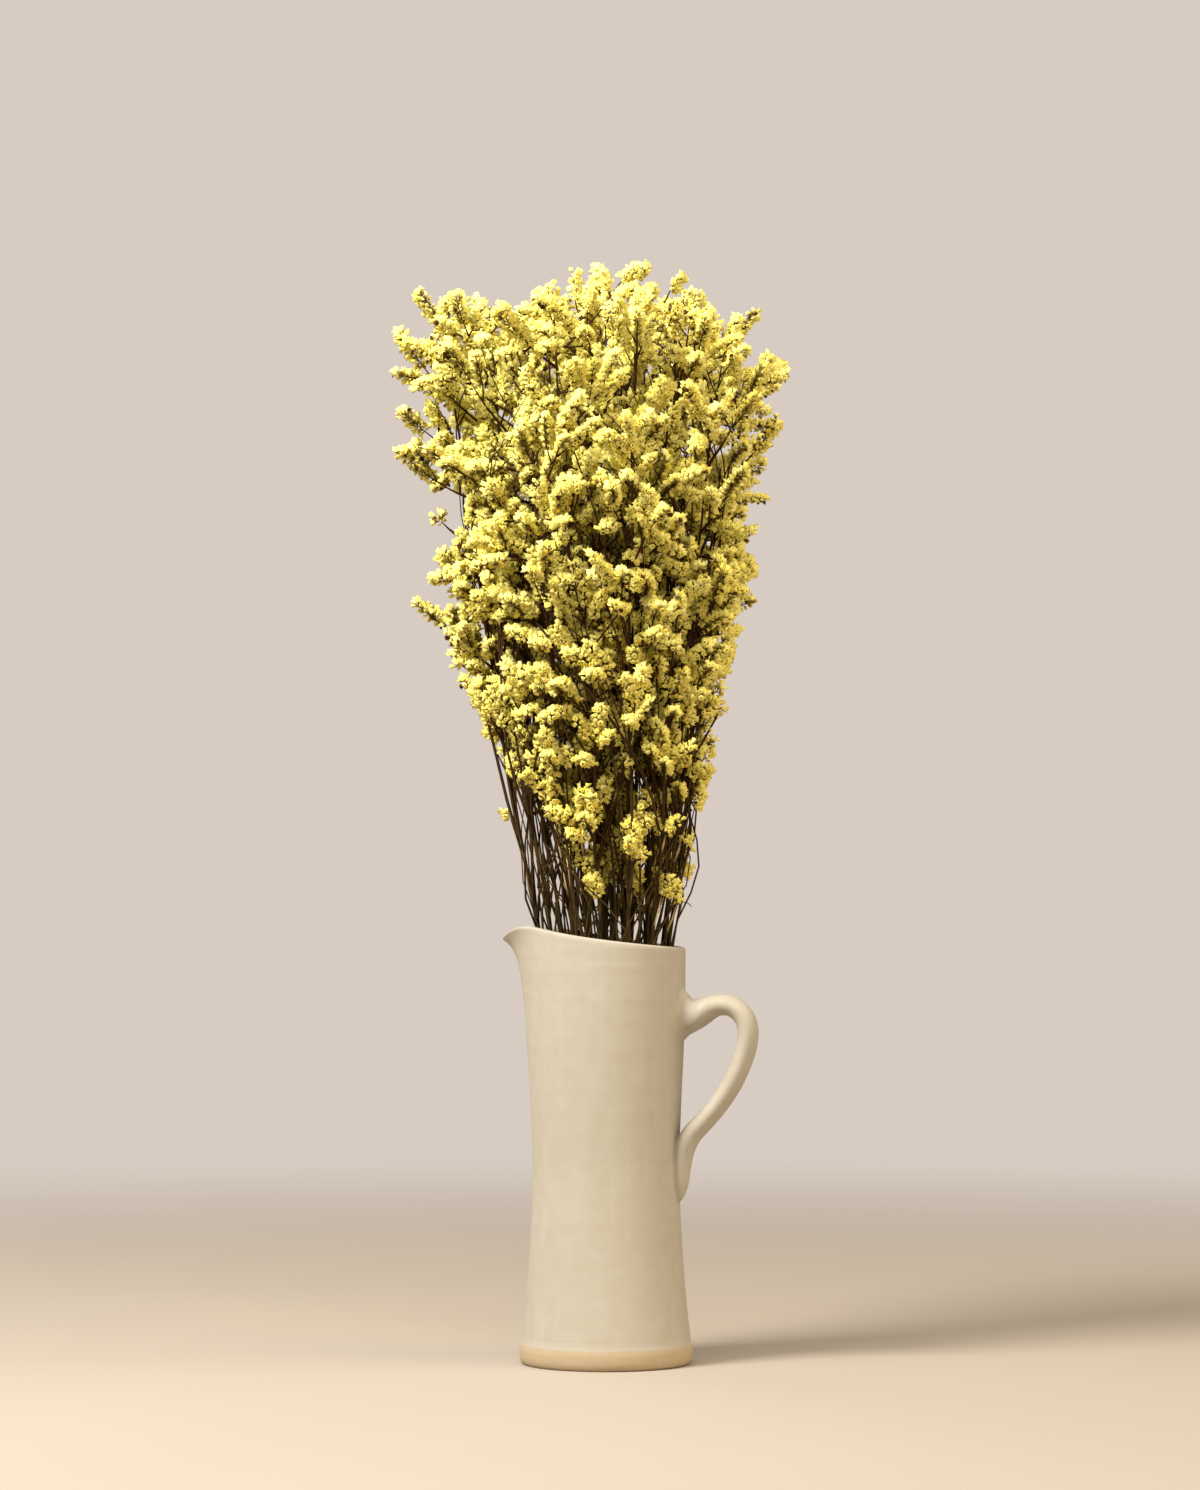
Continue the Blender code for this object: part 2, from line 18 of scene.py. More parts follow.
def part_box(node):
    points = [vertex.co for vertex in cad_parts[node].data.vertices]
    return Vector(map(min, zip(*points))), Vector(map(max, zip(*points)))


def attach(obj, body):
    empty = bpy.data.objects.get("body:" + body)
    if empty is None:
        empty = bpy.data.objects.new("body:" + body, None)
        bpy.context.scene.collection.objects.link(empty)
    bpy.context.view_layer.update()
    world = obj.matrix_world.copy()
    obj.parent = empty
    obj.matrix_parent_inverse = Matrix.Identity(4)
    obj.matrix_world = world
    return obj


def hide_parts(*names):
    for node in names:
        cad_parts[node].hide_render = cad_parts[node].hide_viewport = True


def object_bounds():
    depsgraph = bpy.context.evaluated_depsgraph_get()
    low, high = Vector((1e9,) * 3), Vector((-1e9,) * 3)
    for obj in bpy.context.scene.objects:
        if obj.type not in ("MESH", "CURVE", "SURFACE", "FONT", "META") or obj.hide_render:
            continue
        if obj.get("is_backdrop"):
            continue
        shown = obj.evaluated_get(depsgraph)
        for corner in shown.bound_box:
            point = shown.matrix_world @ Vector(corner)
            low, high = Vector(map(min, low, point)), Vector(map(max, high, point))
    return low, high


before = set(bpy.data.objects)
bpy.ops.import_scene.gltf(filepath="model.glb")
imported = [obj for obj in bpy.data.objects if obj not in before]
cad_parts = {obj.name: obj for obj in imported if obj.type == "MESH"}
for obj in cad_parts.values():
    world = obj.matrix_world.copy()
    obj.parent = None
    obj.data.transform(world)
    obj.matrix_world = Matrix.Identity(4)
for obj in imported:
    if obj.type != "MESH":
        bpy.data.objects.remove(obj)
cad_low, cad_high = (Vector(corner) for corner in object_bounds())
MM = 0.001
SEED = 6
scene = bpy.context.scene
noise.seed_set(SEED)  # noise_vector takes its seed from the clock otherwise
print("CAD box in mm:", [round(x / MM, 1) for x in (*cad_low, *cad_high)])

# %% [markdown]
# The camera
#
# The photograph was taken with a fairly long lens from about two metres away, a little below
# the pitcher's rim, looking slightly up. The handle points to the right and a little towards
# the viewer, so the camera stands turned round the pitcher rather than square to it.

# %% Place the camera
FRONT_TURN = math.radians(14)
CAMERA_DISTANCE = 2.26
CAMERA_HEIGHT = 0.246
CAMERA_TILT = math.radians(3.395)
CAMERA_PAN = math.radians(0.094)
FOCAL_PIXELS = 3650
PICTURE_HEIGHT = 1490
SENSOR = 36.0


def linked(name, data):
    """A new object at the origin that shows some data."""
    item = bpy.data.objects.new(name, data)
    scene.collection.objects.link(item)
    return item


lens = bpy.data.cameras.new("camera")
lens.sensor_fit = "VERTICAL"
lens.sensor_height = SENSOR
lens.lens = FOCAL_PIXELS / PICTURE_HEIGHT * SENSOR
camera = linked("camera", lens)
camera.location = (
    CAMERA_DISTANCE * math.sin(FRONT_TURN),
    -CAMERA_DISTANCE * math.cos(FRONT_TURN),
    CAMERA_HEIGHT,
)
camera.rotation_euler = (math.pi / 2 + CAMERA_TILT, 0.0, FRONT_TURN + CAMERA_PAN)
scene.camera = camera
scene.view_settings.view_transform = "Standard"
print("Lens in mm:", round(lens.lens, 1))

# %% [markdown]
# Writing materials as sums
#
# A material is a tree of nodes. Clicking dozens of Math nodes together is slow to read back, so
# a small class wraps a socket: a sum of two wires adds the Math node that works it out. Every
# other node comes from one method that takes its type, its settings and its inputs.


# %% A wire that can be added and multiplied
class Wire:
    """The output of a node, which can be used in sums."""

    def __init__(self, finish, socket):
        self.finish = finish
        self.socket = socket

    def math(self, operation, *others, clamp=False):
        inputs = dict(enumerate((self, *others)))
        settings = {"operation": operation, "use_clamp": clamp}
        return self.finish.node("ShaderNodeMath", settings, inputs)

    def __add__(self, other):
        return self.math("ADD", other)

    def __sub__(self, other):
        return self.math("SUBTRACT", other)

    def __rsub__(self, other):
        return self.finish.node("ShaderNodeMath", {"operation": "SUBTRACT"}, {0: other, 1: self})

    def __mul__(self, other):
        return self.math("MULTIPLY", other)

    __radd__ = __add__
    __rmul__ = __mul__

    def clamped(self):
        return self.math("ADD", 0.0, clamp=True)

    def step(self, low, high):
        """0 below low, 1 above high, with a soft turn between."""
        settings = {"interpolation_type": "SMOOTHSTEP"}
        return self.finish.node("ShaderNodeMapRange", settings, {0: self, 1: low, 2: high})

    def band(self, middle, half_width):
        """1 at the middle value, falling to 0 at half a width on either side."""
        return 1.0 - (self - middle).math("ABSOLUTE").step(0.0, half_width)


# %% A material under construction
class Finish:
    """A material with a Principled shader, and one method that adds any node to it."""

    def __init__(self, name, **uniform):
        self.material = bpy.data.materials.new(name)
        self.material.use_nodes = True
        self.tree = self.material.node_tree
        self.shader = self.tree.nodes["Principled BSDF"]
        for socket, value in uniform.items():
            self.shader.inputs[socket.replace("_", " ")].default_value = value
        self.place = self.node("ShaderNodeTexCoord", output="Object")

    def feed(self, socket, value):
        if isinstance(value, Wire):
            self.tree.links.new(value.socket, socket)
        else:
            socket.default_value = value

    def node(self, kind, settings=None, inputs=None, output=0):
        made = self.tree.nodes.new(kind)
        for name, value in (settings or {}).items():
            setattr(made, name, value)
        for key, value in (inputs or {}).items():
            self.feed(made.inputs[key], value)
        return Wire(self, made.outputs[output])

    def axis(self, name):
        return self.node("ShaderNodeSeparateXYZ", inputs={0: self.place}, output=name)

    def stretched(self, x, y, z):
        """The place with each axis multiplied, so that a pattern is drawn out along one."""
        factors = {0: self.place, 1: (x, y, z)}
        return self.node("ShaderNodeVectorMath", {"operation": "MULTIPLY"}, factors)

    def noise(self, scale, detail=2.0, place=None):
        inputs = {"Vector": place or self.place, "Scale": scale, "Detail": detail}
        return self.node("ShaderNodeTexNoise", inputs=inputs)

    def mix(self, share, first, second):
        inputs = {0: share, 6: first, 7: second}
        return self.node("ShaderNodeMix", {"data_type": "RGBA"}, inputs, output=2)

    def channel(self, colour, name):
        return self.node("ShaderNodeSeparateColor", inputs={0: colour}, output=name)

    def noted(self, name):
        """The colour attribute that a mesh carries under a name."""
        return self.node("ShaderNodeAttribute", {"attribute_name": name}, output="Color")

    def bump(self, height, distance, strength=1.0):
        inputs = {"Height": height, "Distance": distance, "Strength": strength}
        self.wear(Normal=self.node("ShaderNodeBump", inputs=inputs))

    def wear(self, **changing):
        """Links what changes over the surface to the shader."""
        for socket, value in changing.items():
            self.feed(self.shader.inputs[socket.replace("_", " ")], value)


def srgb(red, green, blue):
    """A screen colour of 0 to 255 as the linear colour that a shader takes."""
    shares = [channel / 255 for channel in (red, green, blue)]
    return (*[s / 12.92 if s <= 0.04045 else ((s + 0.055) / 1.055) ** 2.4 for s in shares], 1.0)


print("Screen white is", srgb(255, 255, 255))

# %% [markdown]
# The pitcher's section
#
# The pitcher was thrown on a wheel: a straight-sided jug, slightly waisted, with a foot that
# spreads a little. Its half section is a short list of heights and radii. Thrown walls carry
# faint rings where the fingers rose, so the section gets a ripple of about a tenth of a
# millimetre that is strongest near the top, where the photograph shows it.

# %% The section of the pitcher
def in_mm(*rows):
    """A table written in millimetres, as metres."""
    return [tuple(value * MM for value in row) for row in rows]


WALL = 4.2 * MM
FLOOR = 7.0 * MM
FLOOR_RADIUS = 45.0 * MM
LIP_ROUND = 1.6 * MM
OUTER_PROFILE = in_mm(  # height, outer radius
    (4.5, 53.15), (10.0, 53.2), (14.0, 52.25), (36.0, 49.7),
    (72.0, 46.9), (116.0, 45.2), (154.0, 46.2), (192.0, 48.0),
    (220.0, 48.8), (240.0, 49.1), (260.0, 49.2),
)
FOOT_CORNER = in_mm((50.3, 0.0), (51.6, 0.5), (52.6, 1.8))  # outer radius, height
RIM_HEIGHT, RIM_RADIUS = OUTER_PROFILE[-1]
LIP_STEPS = 6
RING_STEP = 2.0 * MM
FINGER_STEP = 5.5 * MM
RIPPLE = 0.11 * MM


def limited(value, low=0.0, high=1.0):
    return min(max(value, low), high)


def smooth_table(table, at):
    """Reads a list of (place, value) on a soft curve through its points."""
    last = len(table) - 1
    i = next((k for k in range(last) if at <= table[k + 1][0]), last - 1)
    before, low, high, after = (table[limited(k, 0, last)] for k in range(i - 1, i + 3))
    span = high[0] - low[0]
    share = limited((at - low[0]) / span)
    rise = (high[1] - before[1]) / (high[0] - before[0]) * span
    fall = (after[1] - low[1]) / (after[0] - low[0]) * span
    cube = 2 * low[1] - 2 * high[1] + rise + fall
    square = 3 * high[1] - 3 * low[1] - 2 * rise - fall
    return ((cube * share + square) * share + rise) * share + low[1]


def finger_ring(height):
    """The faint ripple that the potter's fingers left, stronger towards the top."""
    wave = noise.noise(Vector((0.0, 3.7, height / FINGER_STEP)))
    return RIPPLE * wave * (0.35 + 0.65 * max(height / RIM_HEIGHT, 0.0) ** 3)


def pitcher_section():
    """From the middle of the inner floor up, over the lip, down the outside and under the foot."""
    lip_middle = RIM_HEIGHT - LIP_ROUND
    lowest = OUTER_PROFILE[0][0]
    steps = round((lip_middle - lowest) / RING_STEP)
    heights = [lowest + (lip_middle - lowest) * i / steps for i in range(steps + 1)]
    outer = [(smooth_table(OUTER_PROFILE, h) + finger_ring(h), h) for h in heights]
    inner = [(r - WALL, h) for r, h in outer if h > FLOOR + 3 * MM][::3]
    floor = [(FLOOR_RADIUS * share, FLOOR) for share in (0.0, 0.5, 0.92, 1.0)]
    middle = RIM_RADIUS - WALL / 2
    lip = []
    for i in range(LIP_STEPS + 1):
        turn = math.pi * (1 - i / LIP_STEPS)
        lip.append((middle + math.cos(turn) * WALL / 2, lip_middle + math.sin(turn) * LIP_ROUND))
    under = [(FOOT_CORNER[0][0] * share, 0.0) for share in (0.98, 0.9, 0.0)]
    return floor + inner[:-1] + lip + outer[::-1][1:] + FOOT_CORNER[::-1] + under


section = pitcher_section()
print("Points in the section:", len(section))

# %% [markdown]
# Turning the pitcher
#
# The section is a chain of edges, and bmesh's spin operator turns it into the pot, merging the
# full turn shut. The rim was then cut at a slope and a finger pulled the spout out of it. The
# same two formulas as in the CAD source move the vertices, so the pot stays in its place, but
# the pull fades out down the wall where the source ends it in a small step.

# %% Spin the pot and pull its spout
TURN_STEPS = 112
RIM_TILT = 5.2 * MM
RIM_LIFT = 4.6 * MM
SLOPE_STARTS = 190.0 * MM
SPOUT_REACH = in_mm((7.0, 4.0), (11.0, 28.0))  # how far out, how deep it fades
SPOUT_WIDTH = math.radians(25)
SPOUT_DIP = 9.8 * MM
SPOUT_DIP_WIDTH = math.radians(18)


def bell(offset, width):
    return math.exp(-((offset / width) ** 2))


def rim_height(from_spout):
    towards = math.cos(from_spout)
    climb = RIM_TILT * towards + RIM_LIFT * ((1 + towards) / 2) ** 3
    return RIM_HEIGHT + climb - SPOUT_DIP * bell(from_spout, SPOUT_DIP_WIDTH)


def pulled(point):
    """Where a point of the round pot goes when the rim is sloped and the spout drawn out."""
    radius = math.hypot(point.x, point.y)
    if radius < MM:
        return point
    from_spout = math.atan2(point.y, -point.x)
    share = max(point.z - SLOPE_STARTS, 0.0) / (RIM_HEIGHT - SLOPE_STARTS)
    lip = rim_height(from_spout)
    height = point.z + (lip - RIM_HEIGHT) * share ** 2
    reach = sum(far * math.exp(-max(lip - height, 0.0) / fade) for far, fade in SPOUT_REACH)
    stretch = 1 + reach * bell(from_spout, SPOUT_WIDTH) / radius
    return Vector((point.x * stretch, point.y * stretch, height))


def turned_pot():
    pot = bmesh.new()
    chain = [pot.verts.new((radius, 0.0, height)) for radius, height in section]
    edges = [pot.edges.new(pair) for pair in zip(chain, chain[1:])]
    bmesh.ops.spin(
        pot, geom=chain + edges, cent=(0, 0, 0), axis=(0, 0, 1), dvec=(0, 0, 0),
        angle=math.tau, steps=TURN_STEPS, use_merge=True, use_normal_flip=False, use_duplicate=False,
    )
    bmesh.ops.remove_doubles(pot, verts=pot.verts, dist=0.02 * MM)
    for vertex in pot.verts:
        vertex.co = pulled(vertex.co)
    bmesh.ops.recalc_face_normals(pot, faces=pot.faces)
    return pot


def to_object(work, name):
    """Ends a bmesh: its mesh goes into a new object at the origin."""
    mesh = bpy.data.meshes.new(name)
    work.to_mesh(mesh)
    work.free()
    return linked(name, mesh)


pot = to_object(turned_pot(), "pot")
print("Faces of the pot:", len(pot.data.polygons))

# %% [markdown]
# The handle
#
# The handle is a pulled strap: thick and upright where it was pressed on below the rim, then an
# oval grip that loops out and down, and a tail that was smeared down the body to a point. A
# round curve with a thickness at every point gives that taper, and widening the section
# sideways makes the oval.

# %% Sweep the handle
HANDLE_LINE = in_mm(  # distance from the axis, height, half thickness
    (45.6, 213.4, 20.4), (47.5, 213.4, 18.6), (49.5, 213.4, 15.9), (51.5, 213.4, 13.4),
    (54.0, 213.5, 11.3), (57.5, 214.2, 9.6), (61.5, 215.8, 8.4), (66.0, 217.9, 7.4),
    (71.5, 219.4, 6.6), (78.3, 219.0, 6.4), (84.4, 215.4, 6.3), (88.4, 209.2, 6.3),
    (89.5, 201.0, 6.4), (87.3, 189.2, 6.2), (81.0, 174.0, 6.0), (72.2, 160.2, 6.0),
    (62.6, 149.0, 6.1), (54.2, 140.2, 6.3), (49.6, 130.8, 6.2), (47.6, 120.0, 5.8),
    (46.8, 111.6, 5.4), (45.7, 105.0, 4.4), (44.1, 99.0, 2.5),
)
HANDLE_BREADTH = 1.5
ROOT_BREADTH = 0.66
ROOT_REACH = (50.0 * MM, 62.0 * MM)
ROOT_ABOVE = 180.0 * MM
HANDLE_PARTS = 4
HANDLE_SIDES = 32


def soft_line(points, parts):
    """A Catmull-Rom line through points of any dimension, with parts steps in each span."""
    places = np.array([tuple(point) for point in points])
    ends = np.vstack([2 * places[0] - places[1], places, 2 * places[-1] - places[-2]])
    rows = []
    for a, b, c, d in zip(ends, ends[1:], ends[2:], ends[3:]):
        for i in range(parts):
            t = i / parts
            square = a - 2.5 * b + 2 * c - d / 2
            cube = 1.5 * (b - c) + (d - a) / 2
            rows.append(b + t * ((c - a) / 2 + t * (square + t * cube)))
    return rows + [places[-1]]


def add_tubes(work, lines, sides):
    """Adds tubes along lines of (x, y, z, radius), with closed ends, to a bmesh."""
    curve = bpy.data.curves.new("tubes", "CURVE")
    curve.dimensions = "3D"
    curve.bevel_depth = 1.0
    curve.bevel_resolution = sides // 2 - 2
    curve.use_fill_caps = True
    for line in lines:
        rows = np.array(line)
        spline = curve.splines.new("POLY")
        spline.points.add(len(rows) - 1)
        spline.points.foreach_set("co", np.hstack([rows[:, :3], np.ones((len(rows), 1))]).ravel())
        spline.points.foreach_set("radius", rows[:, 3].copy())
    holder = linked("tubes", curve)
    graph = bpy.context.evaluated_depsgraph_get()
    mesh = bpy.data.meshes.new_from_object(holder.evaluated_get(graph))
    work.from_mesh(mesh)
    bpy.data.objects.remove(holder, do_unlink=True)
    bpy.data.curves.remove(curve)
    bpy.data.meshes.remove(mesh)
    bmesh.ops.remove_doubles(work, verts=work.verts, dist=0.002 * MM)


def handle_breadth(distance, height):
    """How much wider than thick the handle is. Only its upper root is narrower than thick."""
    if height < ROOT_ABOVE:
        return HANDLE_BREADTH
    near, far = ROOT_REACH
    share = limited((distance - near) / (far - near))
    return ROOT_BREADTH + (HANDLE_BREADTH - ROOT_BREADTH) * share


handle_rows = [(x, 0.0, z, radius) for x, z, radius in HANDLE_LINE]
strap = bmesh.new()
add_tubes(strap, [soft_line(handle_rows, HANDLE_PARTS)], HANDLE_SIDES)
handle = to_object(strap, "handle")
for vertex in handle.data.vertices:
    vertex.co.y *= handle_breadth(vertex.co.x, vertex.co.z)
print("Faces of the handle:", len(handle.data.polygons))

# %% [markdown]
# Joining handle and pot
#
# On the real pitcher the clay of the handle was smoothed into the wall, so no sharp crease is
# left. A Boolean modifier fuses the two shells, and smooth_vert then relaxes the vertices near
# the seam alone, which rounds the crease into a fillet.

# %% Fuse the handle and soften the seam
SEAM_NEAR = 2.8 * MM
SEAM_PASSES = 6
SEAM_FROM = 30 * MM
SEAM_HEIGHTS = (90 * MM, 240 * MM)
SEAM_DEPTHS = (-0.5 * MM, 1.5 * MM)
CREASE = math.radians(14)
MERGE = 0.25 * MM
SORT_WAY = Vector((1.0, 31.0, 977.0))

union = pot.modifiers.new("handle", "BOOLEAN")
union.operation = "UNION"
union.solver = "EXACT"
union.object = handle
graph = bpy.context.evaluated_depsgraph_get()
fused = bpy.data.meshes.new_from_object(pot.evaluated_get(graph))
work = bmesh.new()
work.from_mesh(fused)
work.verts.sort(key=lambda vertex: vertex.co.dot(SORT_WAY))
bmesh.ops.remove_doubles(work, verts=work.verts, dist=MERGE)
print("Vertices of the fused pitcher:", len(work.verts))


def off_the_pot(point):
    """How far a point stands off the turned body's outer face."""
    return math.hypot(point.x, point.y) - smooth_table(OUTER_PROFILE, point.z)


def near_seam(vertex):
    if vertex.co.x < SEAM_FROM or not SEAM_HEIGHTS[0] < vertex.co.z < SEAM_HEIGHTS[1]:
        return False
    return SEAM_DEPTHS[0] < off_the_pot(vertex.co)


zone = [vertex for vertex in work.verts if near_seam(vertex)]
creases = [
    edge for edge in work.edges
    if len(edge.link_faces) == 2 and edge.calc_face_angle(0.0) > CREASE
    and all(near_seam(vertex) and off_the_pot(vertex.co) < SEAM_DEPTHS[1] for vertex in edge.verts)
]
print("Edges along the seam:", len(creases))
seam_places = np.array([tuple((edge.verts[0].co + edge.verts[1].co) / 2) for edge in creases])
near = [
    vertex for vertex in zone
    if np.min(np.linalg.norm(seam_places - np.array(vertex.co), axis=1)) < SEAM_NEAR
]
for turn in range(SEAM_PASSES):
    bmesh.ops.smooth_vert(
        work, verts=near, factor=0.5, use_axis_x=True, use_axis_y=True, use_axis_z=True,
    )
bmesh.ops.recalc_face_normals(work, faces=work.faces)
for leftover in (pot, handle):
    bpy.data.objects.remove(leftover, do_unlink=True)
bpy.data.meshes.remove(fused)
pitcher = to_object(work, "stoneware_pitcher")
pitcher.data.shade_smooth()
print("Softened vertices:", len(near), "pitcher faces:", len(pitcher.data.polygons))

# %% [markdown]
# The glaze
#
# The glaze is matte and cream, a little cloudy, with a few pinholes where gas escaped in the
# kiln. It stops in a pale line above the foot, and the bare clay below is tan. All of it is
# worked out from the place on the pitcher, so it holds from every side: wide and narrow clouds,
# streaks drawn out along the height, rings that depend on the height alone, and small specks
# where a point lies close to the middle of a Voronoi cell.

# %% Mix the cream glaze
FOOT_BAND = 11.9 * MM
FOOT_EDGE = 0.8 * MM
FOOT_LINES = [(0.0178, 0.0009, 0.2), (0.0204, 0.0007, 0.14)]  # height, half width, share
glaze = Finish("cream_glaze", Roughness=0.6, Specular_IOR_Level=0.35)
height = glaze.axis("Z")
clouds = glaze.noise(20.0, 3.0)
mottle = glaze.noise(110.0, 4.0)
grain = glaze.noise(1500.0, 2.0)
streaks = glaze.noise(160.0, 3.0, glaze.stretched(1.0, 1.0, 0.06))
rings = glaze.noise(190.0, 2.0, glaze.stretched(0.04, 0.04, 1.0))

cream = glaze.mix((clouds - 0.5) * 1.6 + 0.5, srgb(173, 164, 145), srgb(181, 173, 157))
cream = glaze.mix((mottle * 2.2 - 0.75).clamped() * 0.55, cream, srgb(167, 157, 134))
cream = glaze.mix((streaks * 3.0 - 1.45).clamped() * 0.35, cream, srgb(186, 179, 166))
top = height.step(0.2, 0.262)
cream = glaze.mix((rings * 3.0 - 1.3).clamped() * (0.12 + 0.3 * top), cream, srgb(163, 150, 126))

wobble = height + (glaze.noise(60.0, 2.0) - 0.5) * 0.0016
bare = 1.0 - wobble.step(FOOT_BAND - FOOT_EDGE, FOOT_BAND + FOOT_EDGE)
clay = glaze.mix(glaze.noise(300.0, 3.0), srgb(176, 155, 122), srgb(185, 166, 134))
skin = glaze.mix(wobble.band(FOOT_BAND + 0.0012, 0.002) * 0.4, cream, srgb(182, 172, 152))
for at, half_width, share in FOOT_LINES:
    skin = glaze.mix(wobble.band(at, half_width) * share, skin, srgb(172, 150, 112))
skin = glaze.mix(bare, skin, clay)


def specks(scale, radius, share):
    """Small round spots in a share of the cells of a Voronoi pattern."""
    inputs = {"Vector": glaze.place, "Scale": scale}
    spot = glaze.node("ShaderNodeTexVoronoi", inputs=inputs, output="Distance")
    tint = glaze.node("ShaderNodeTexVoronoi", inputs=inputs, output="Color")
    lucky = glaze.channel(tint, "Red").step(1 - share, 1 - share + 0.01)
    return (1.0 - spot.step(radius * scale * 0.6, radius * scale)) * lucky


pinholes = specks(75.0, 0.00045, 0.2)
skin = glaze.mix(pinholes * 0.75, skin, srgb(112, 84, 52))
glaze.wear(Base_Color=skin, Roughness=0.52 + mottle * 0.2 + bare * 0.18)
relief = mottle * 0.35 + grain * 0.12 + rings * (0.1 + 0.25 * top) - pinholes * 0.8 - bare * 0.3
glaze.bump(relief, 0.35 * MM, 0.8)

pitcher.data.materials.append(glaze.material)
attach(pitcher, "root")
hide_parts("pitcher")
print("Nodes in the glaze:", len(glaze.tree.nodes))

# %% [markdown]
# How the bouquet grows
#
# No two sprays of statice are alike, but all follow one habit: a stem stands in the pitcher,
# twigs leave it on the way up, and each ends in a head of florets that bends to the light. The
# CAD source grows the bouquet from that habit with seeded random numbers. The same rule, the
# same numbers and the same order of draws are used here, so every finer stem and every floret
# lies where its solid is.

# %% The bouquet's measures
FOOT_GAP = 0.3 * MM
CLEARANCE = 0.5 * MM
# stems in a ring, share of the bundle's radius, lowest twig, twig spacing, tops from and to
RINGS = [
    (4, 0.26, 470.0 * MM, 26.0 * MM, 626.0 * MM, 640.0 * MM),
    (9, 0.62, 380.0 * MM, 26.0 * MM, 580.0 * MM, 640.0 * MM),
    (15, 0.96, 290.0 * MM, 21.5 * MM, 375.0 * MM, 632.0 * MM),
]
OUTER_SHARE = 0.5
BARE_SPREAD = 55.0 * MM
ANGLE_PLAY = 0.16
SHARE_PLAY = 0.03
GOLDEN = 0.618034
STRAYS = [(438.0 * MM, 66.0), (415.0 * MM, 60.0)]  # height of the root, splay in degrees
STRAY_TWIG = 22.0 * MM
BUNDLE_RADIUS = in_mm(  # height, radius of the bundle of stems
    (7.0, 17.0), (130.0, 27.0), (259.0, 42.0), (300.0, 49.0), (348.0, 57.0),
    (400.0, 63.0), (450.0, 69.0), (520.0, 79.0), (600.0, 90.0), (680.0, 95.0),
)
HEAD_REACH = in_mm(  # height, how far the heads stand from the bundle's middle
    (290.0, 55.0), (350.0, 70.0), (400.0, 82.0), (450.0, 94.0), (500.0, 105.0),
    (560.0, 120.0), (610.0, 125.0), (640.0, 122.0), (660.0, 112.0), (672.0, 98.0),
    (681.0, 80.0),
)
LEAN = in_mm((259.0, 0.0), (420.0, -5.0), (600.0, -10.0))
STEM_STEP = 66.0 * MM
STEM_KINK = 1.6 * MM
STEM_THICK = 1.6 * MM
TWIG_ROOT = 0.9 * MM
TWIG_NECK = 0.8 * MM
TWIG_LENGTH = (8.0 * MM, 48.0 * MM)
TWIG_SPLAY = (24.0, 80.0)
TWIG_BEND = 24.0
TWIG_FAN = 1.5
TWIG_TWIST = 0.4
NECK_AT = 0.92
ROOT_PLAY = 0.6
HIGHEST_ROOT = 4.0 * MM
STEM_HEAD_TILT = 30.0
TRIES = 40
HEAD_LENGTH = 46.0 * MM
HEAD_RINGS = 5
HEAD_SOLID = 9.7 * MM
HEAD_SIZES = (1.0, 0.85, 0.7)
HEAD_VARIES = (0.85, 1.12)
FLORET_VARIES = (0.9, 1.08)
OWN_OVERLAP = 0.5 * MM
ROOM_ENOUGH = 12.0 * MM
EDGE_PULL = 0.45


def read_table(table, at):
    """Straight interpolation in a list of (place, value), flat beyond its ends."""
    if at <= table[0][0]:
        return table[0][1]
    for (low, value), (high, following) in zip(table, table[1:]):
        if at <= high:
            return value + (following - value) * (at - low) / (high - low)
    return table[-1][1]


def level(angle):
    return Vector((math.cos(angle), math.sin(angle), 0.0))


def bundle_point(share, angle, height):
    radius = share * read_table(BUNDLE_RADIUS, height)
    lean = read_table(LEAN, height)
    return Vector((radius * math.cos(angle) + lean, radius * math.sin(angle), height))


# %% A spray
class Spray:
    """A stem with its twigs. A strand is its points and the index where its head begins."""

    def __init__(self, share, angle, lowest, spacing, top):
        self.share, self.angle, self.top = share, angle, top
        self.lowest, self.spacing = lowest, spacing
        self.strands = []

    def twig_heights(self):
        count = max(round((self.top - self.lowest) / self.spacing), 1)
        step = (self.top - self.lowest) / count
        return [self.lowest + (i + 0.5) * step for i in range(count)]

    def grow_stem(self, rng):
        free = self.top - RIM_HEIGHT
        steps = max(round(free / STEM_STEP), 2)
        heights = [FLOOR + FOOT_GAP, RIM_HEIGHT / 2, RIM_HEIGHT]
        heights += [RIM_HEIGHT + free * (i + 1) / steps for i in range(steps)]
        self.stem = [bundle_point(self.share, self.angle, height) for height in heights]
        for point in self.stem[3:]:
            point += level(rng.uniform(0, math.tau)) * STEM_KINK

    def add_strand(self, bare, head, rng):
        """The solid's head drew a width for each of its rings, so the draws are made here too."""
        for ring in range(HEAD_RINGS if head else 0):
            rng.uniform(*FLORET_VARIES)
        self.strands.append((bare + head, len(bare) - 1))

    def stem_at(self, height):
        for low, high in zip(self.stem, self.stem[1:]):
            if low.z <= height <= high.z:
                return low.lerp(high, (height - low.z) / (high.z - low.z))
        return self.stem[-1].copy()


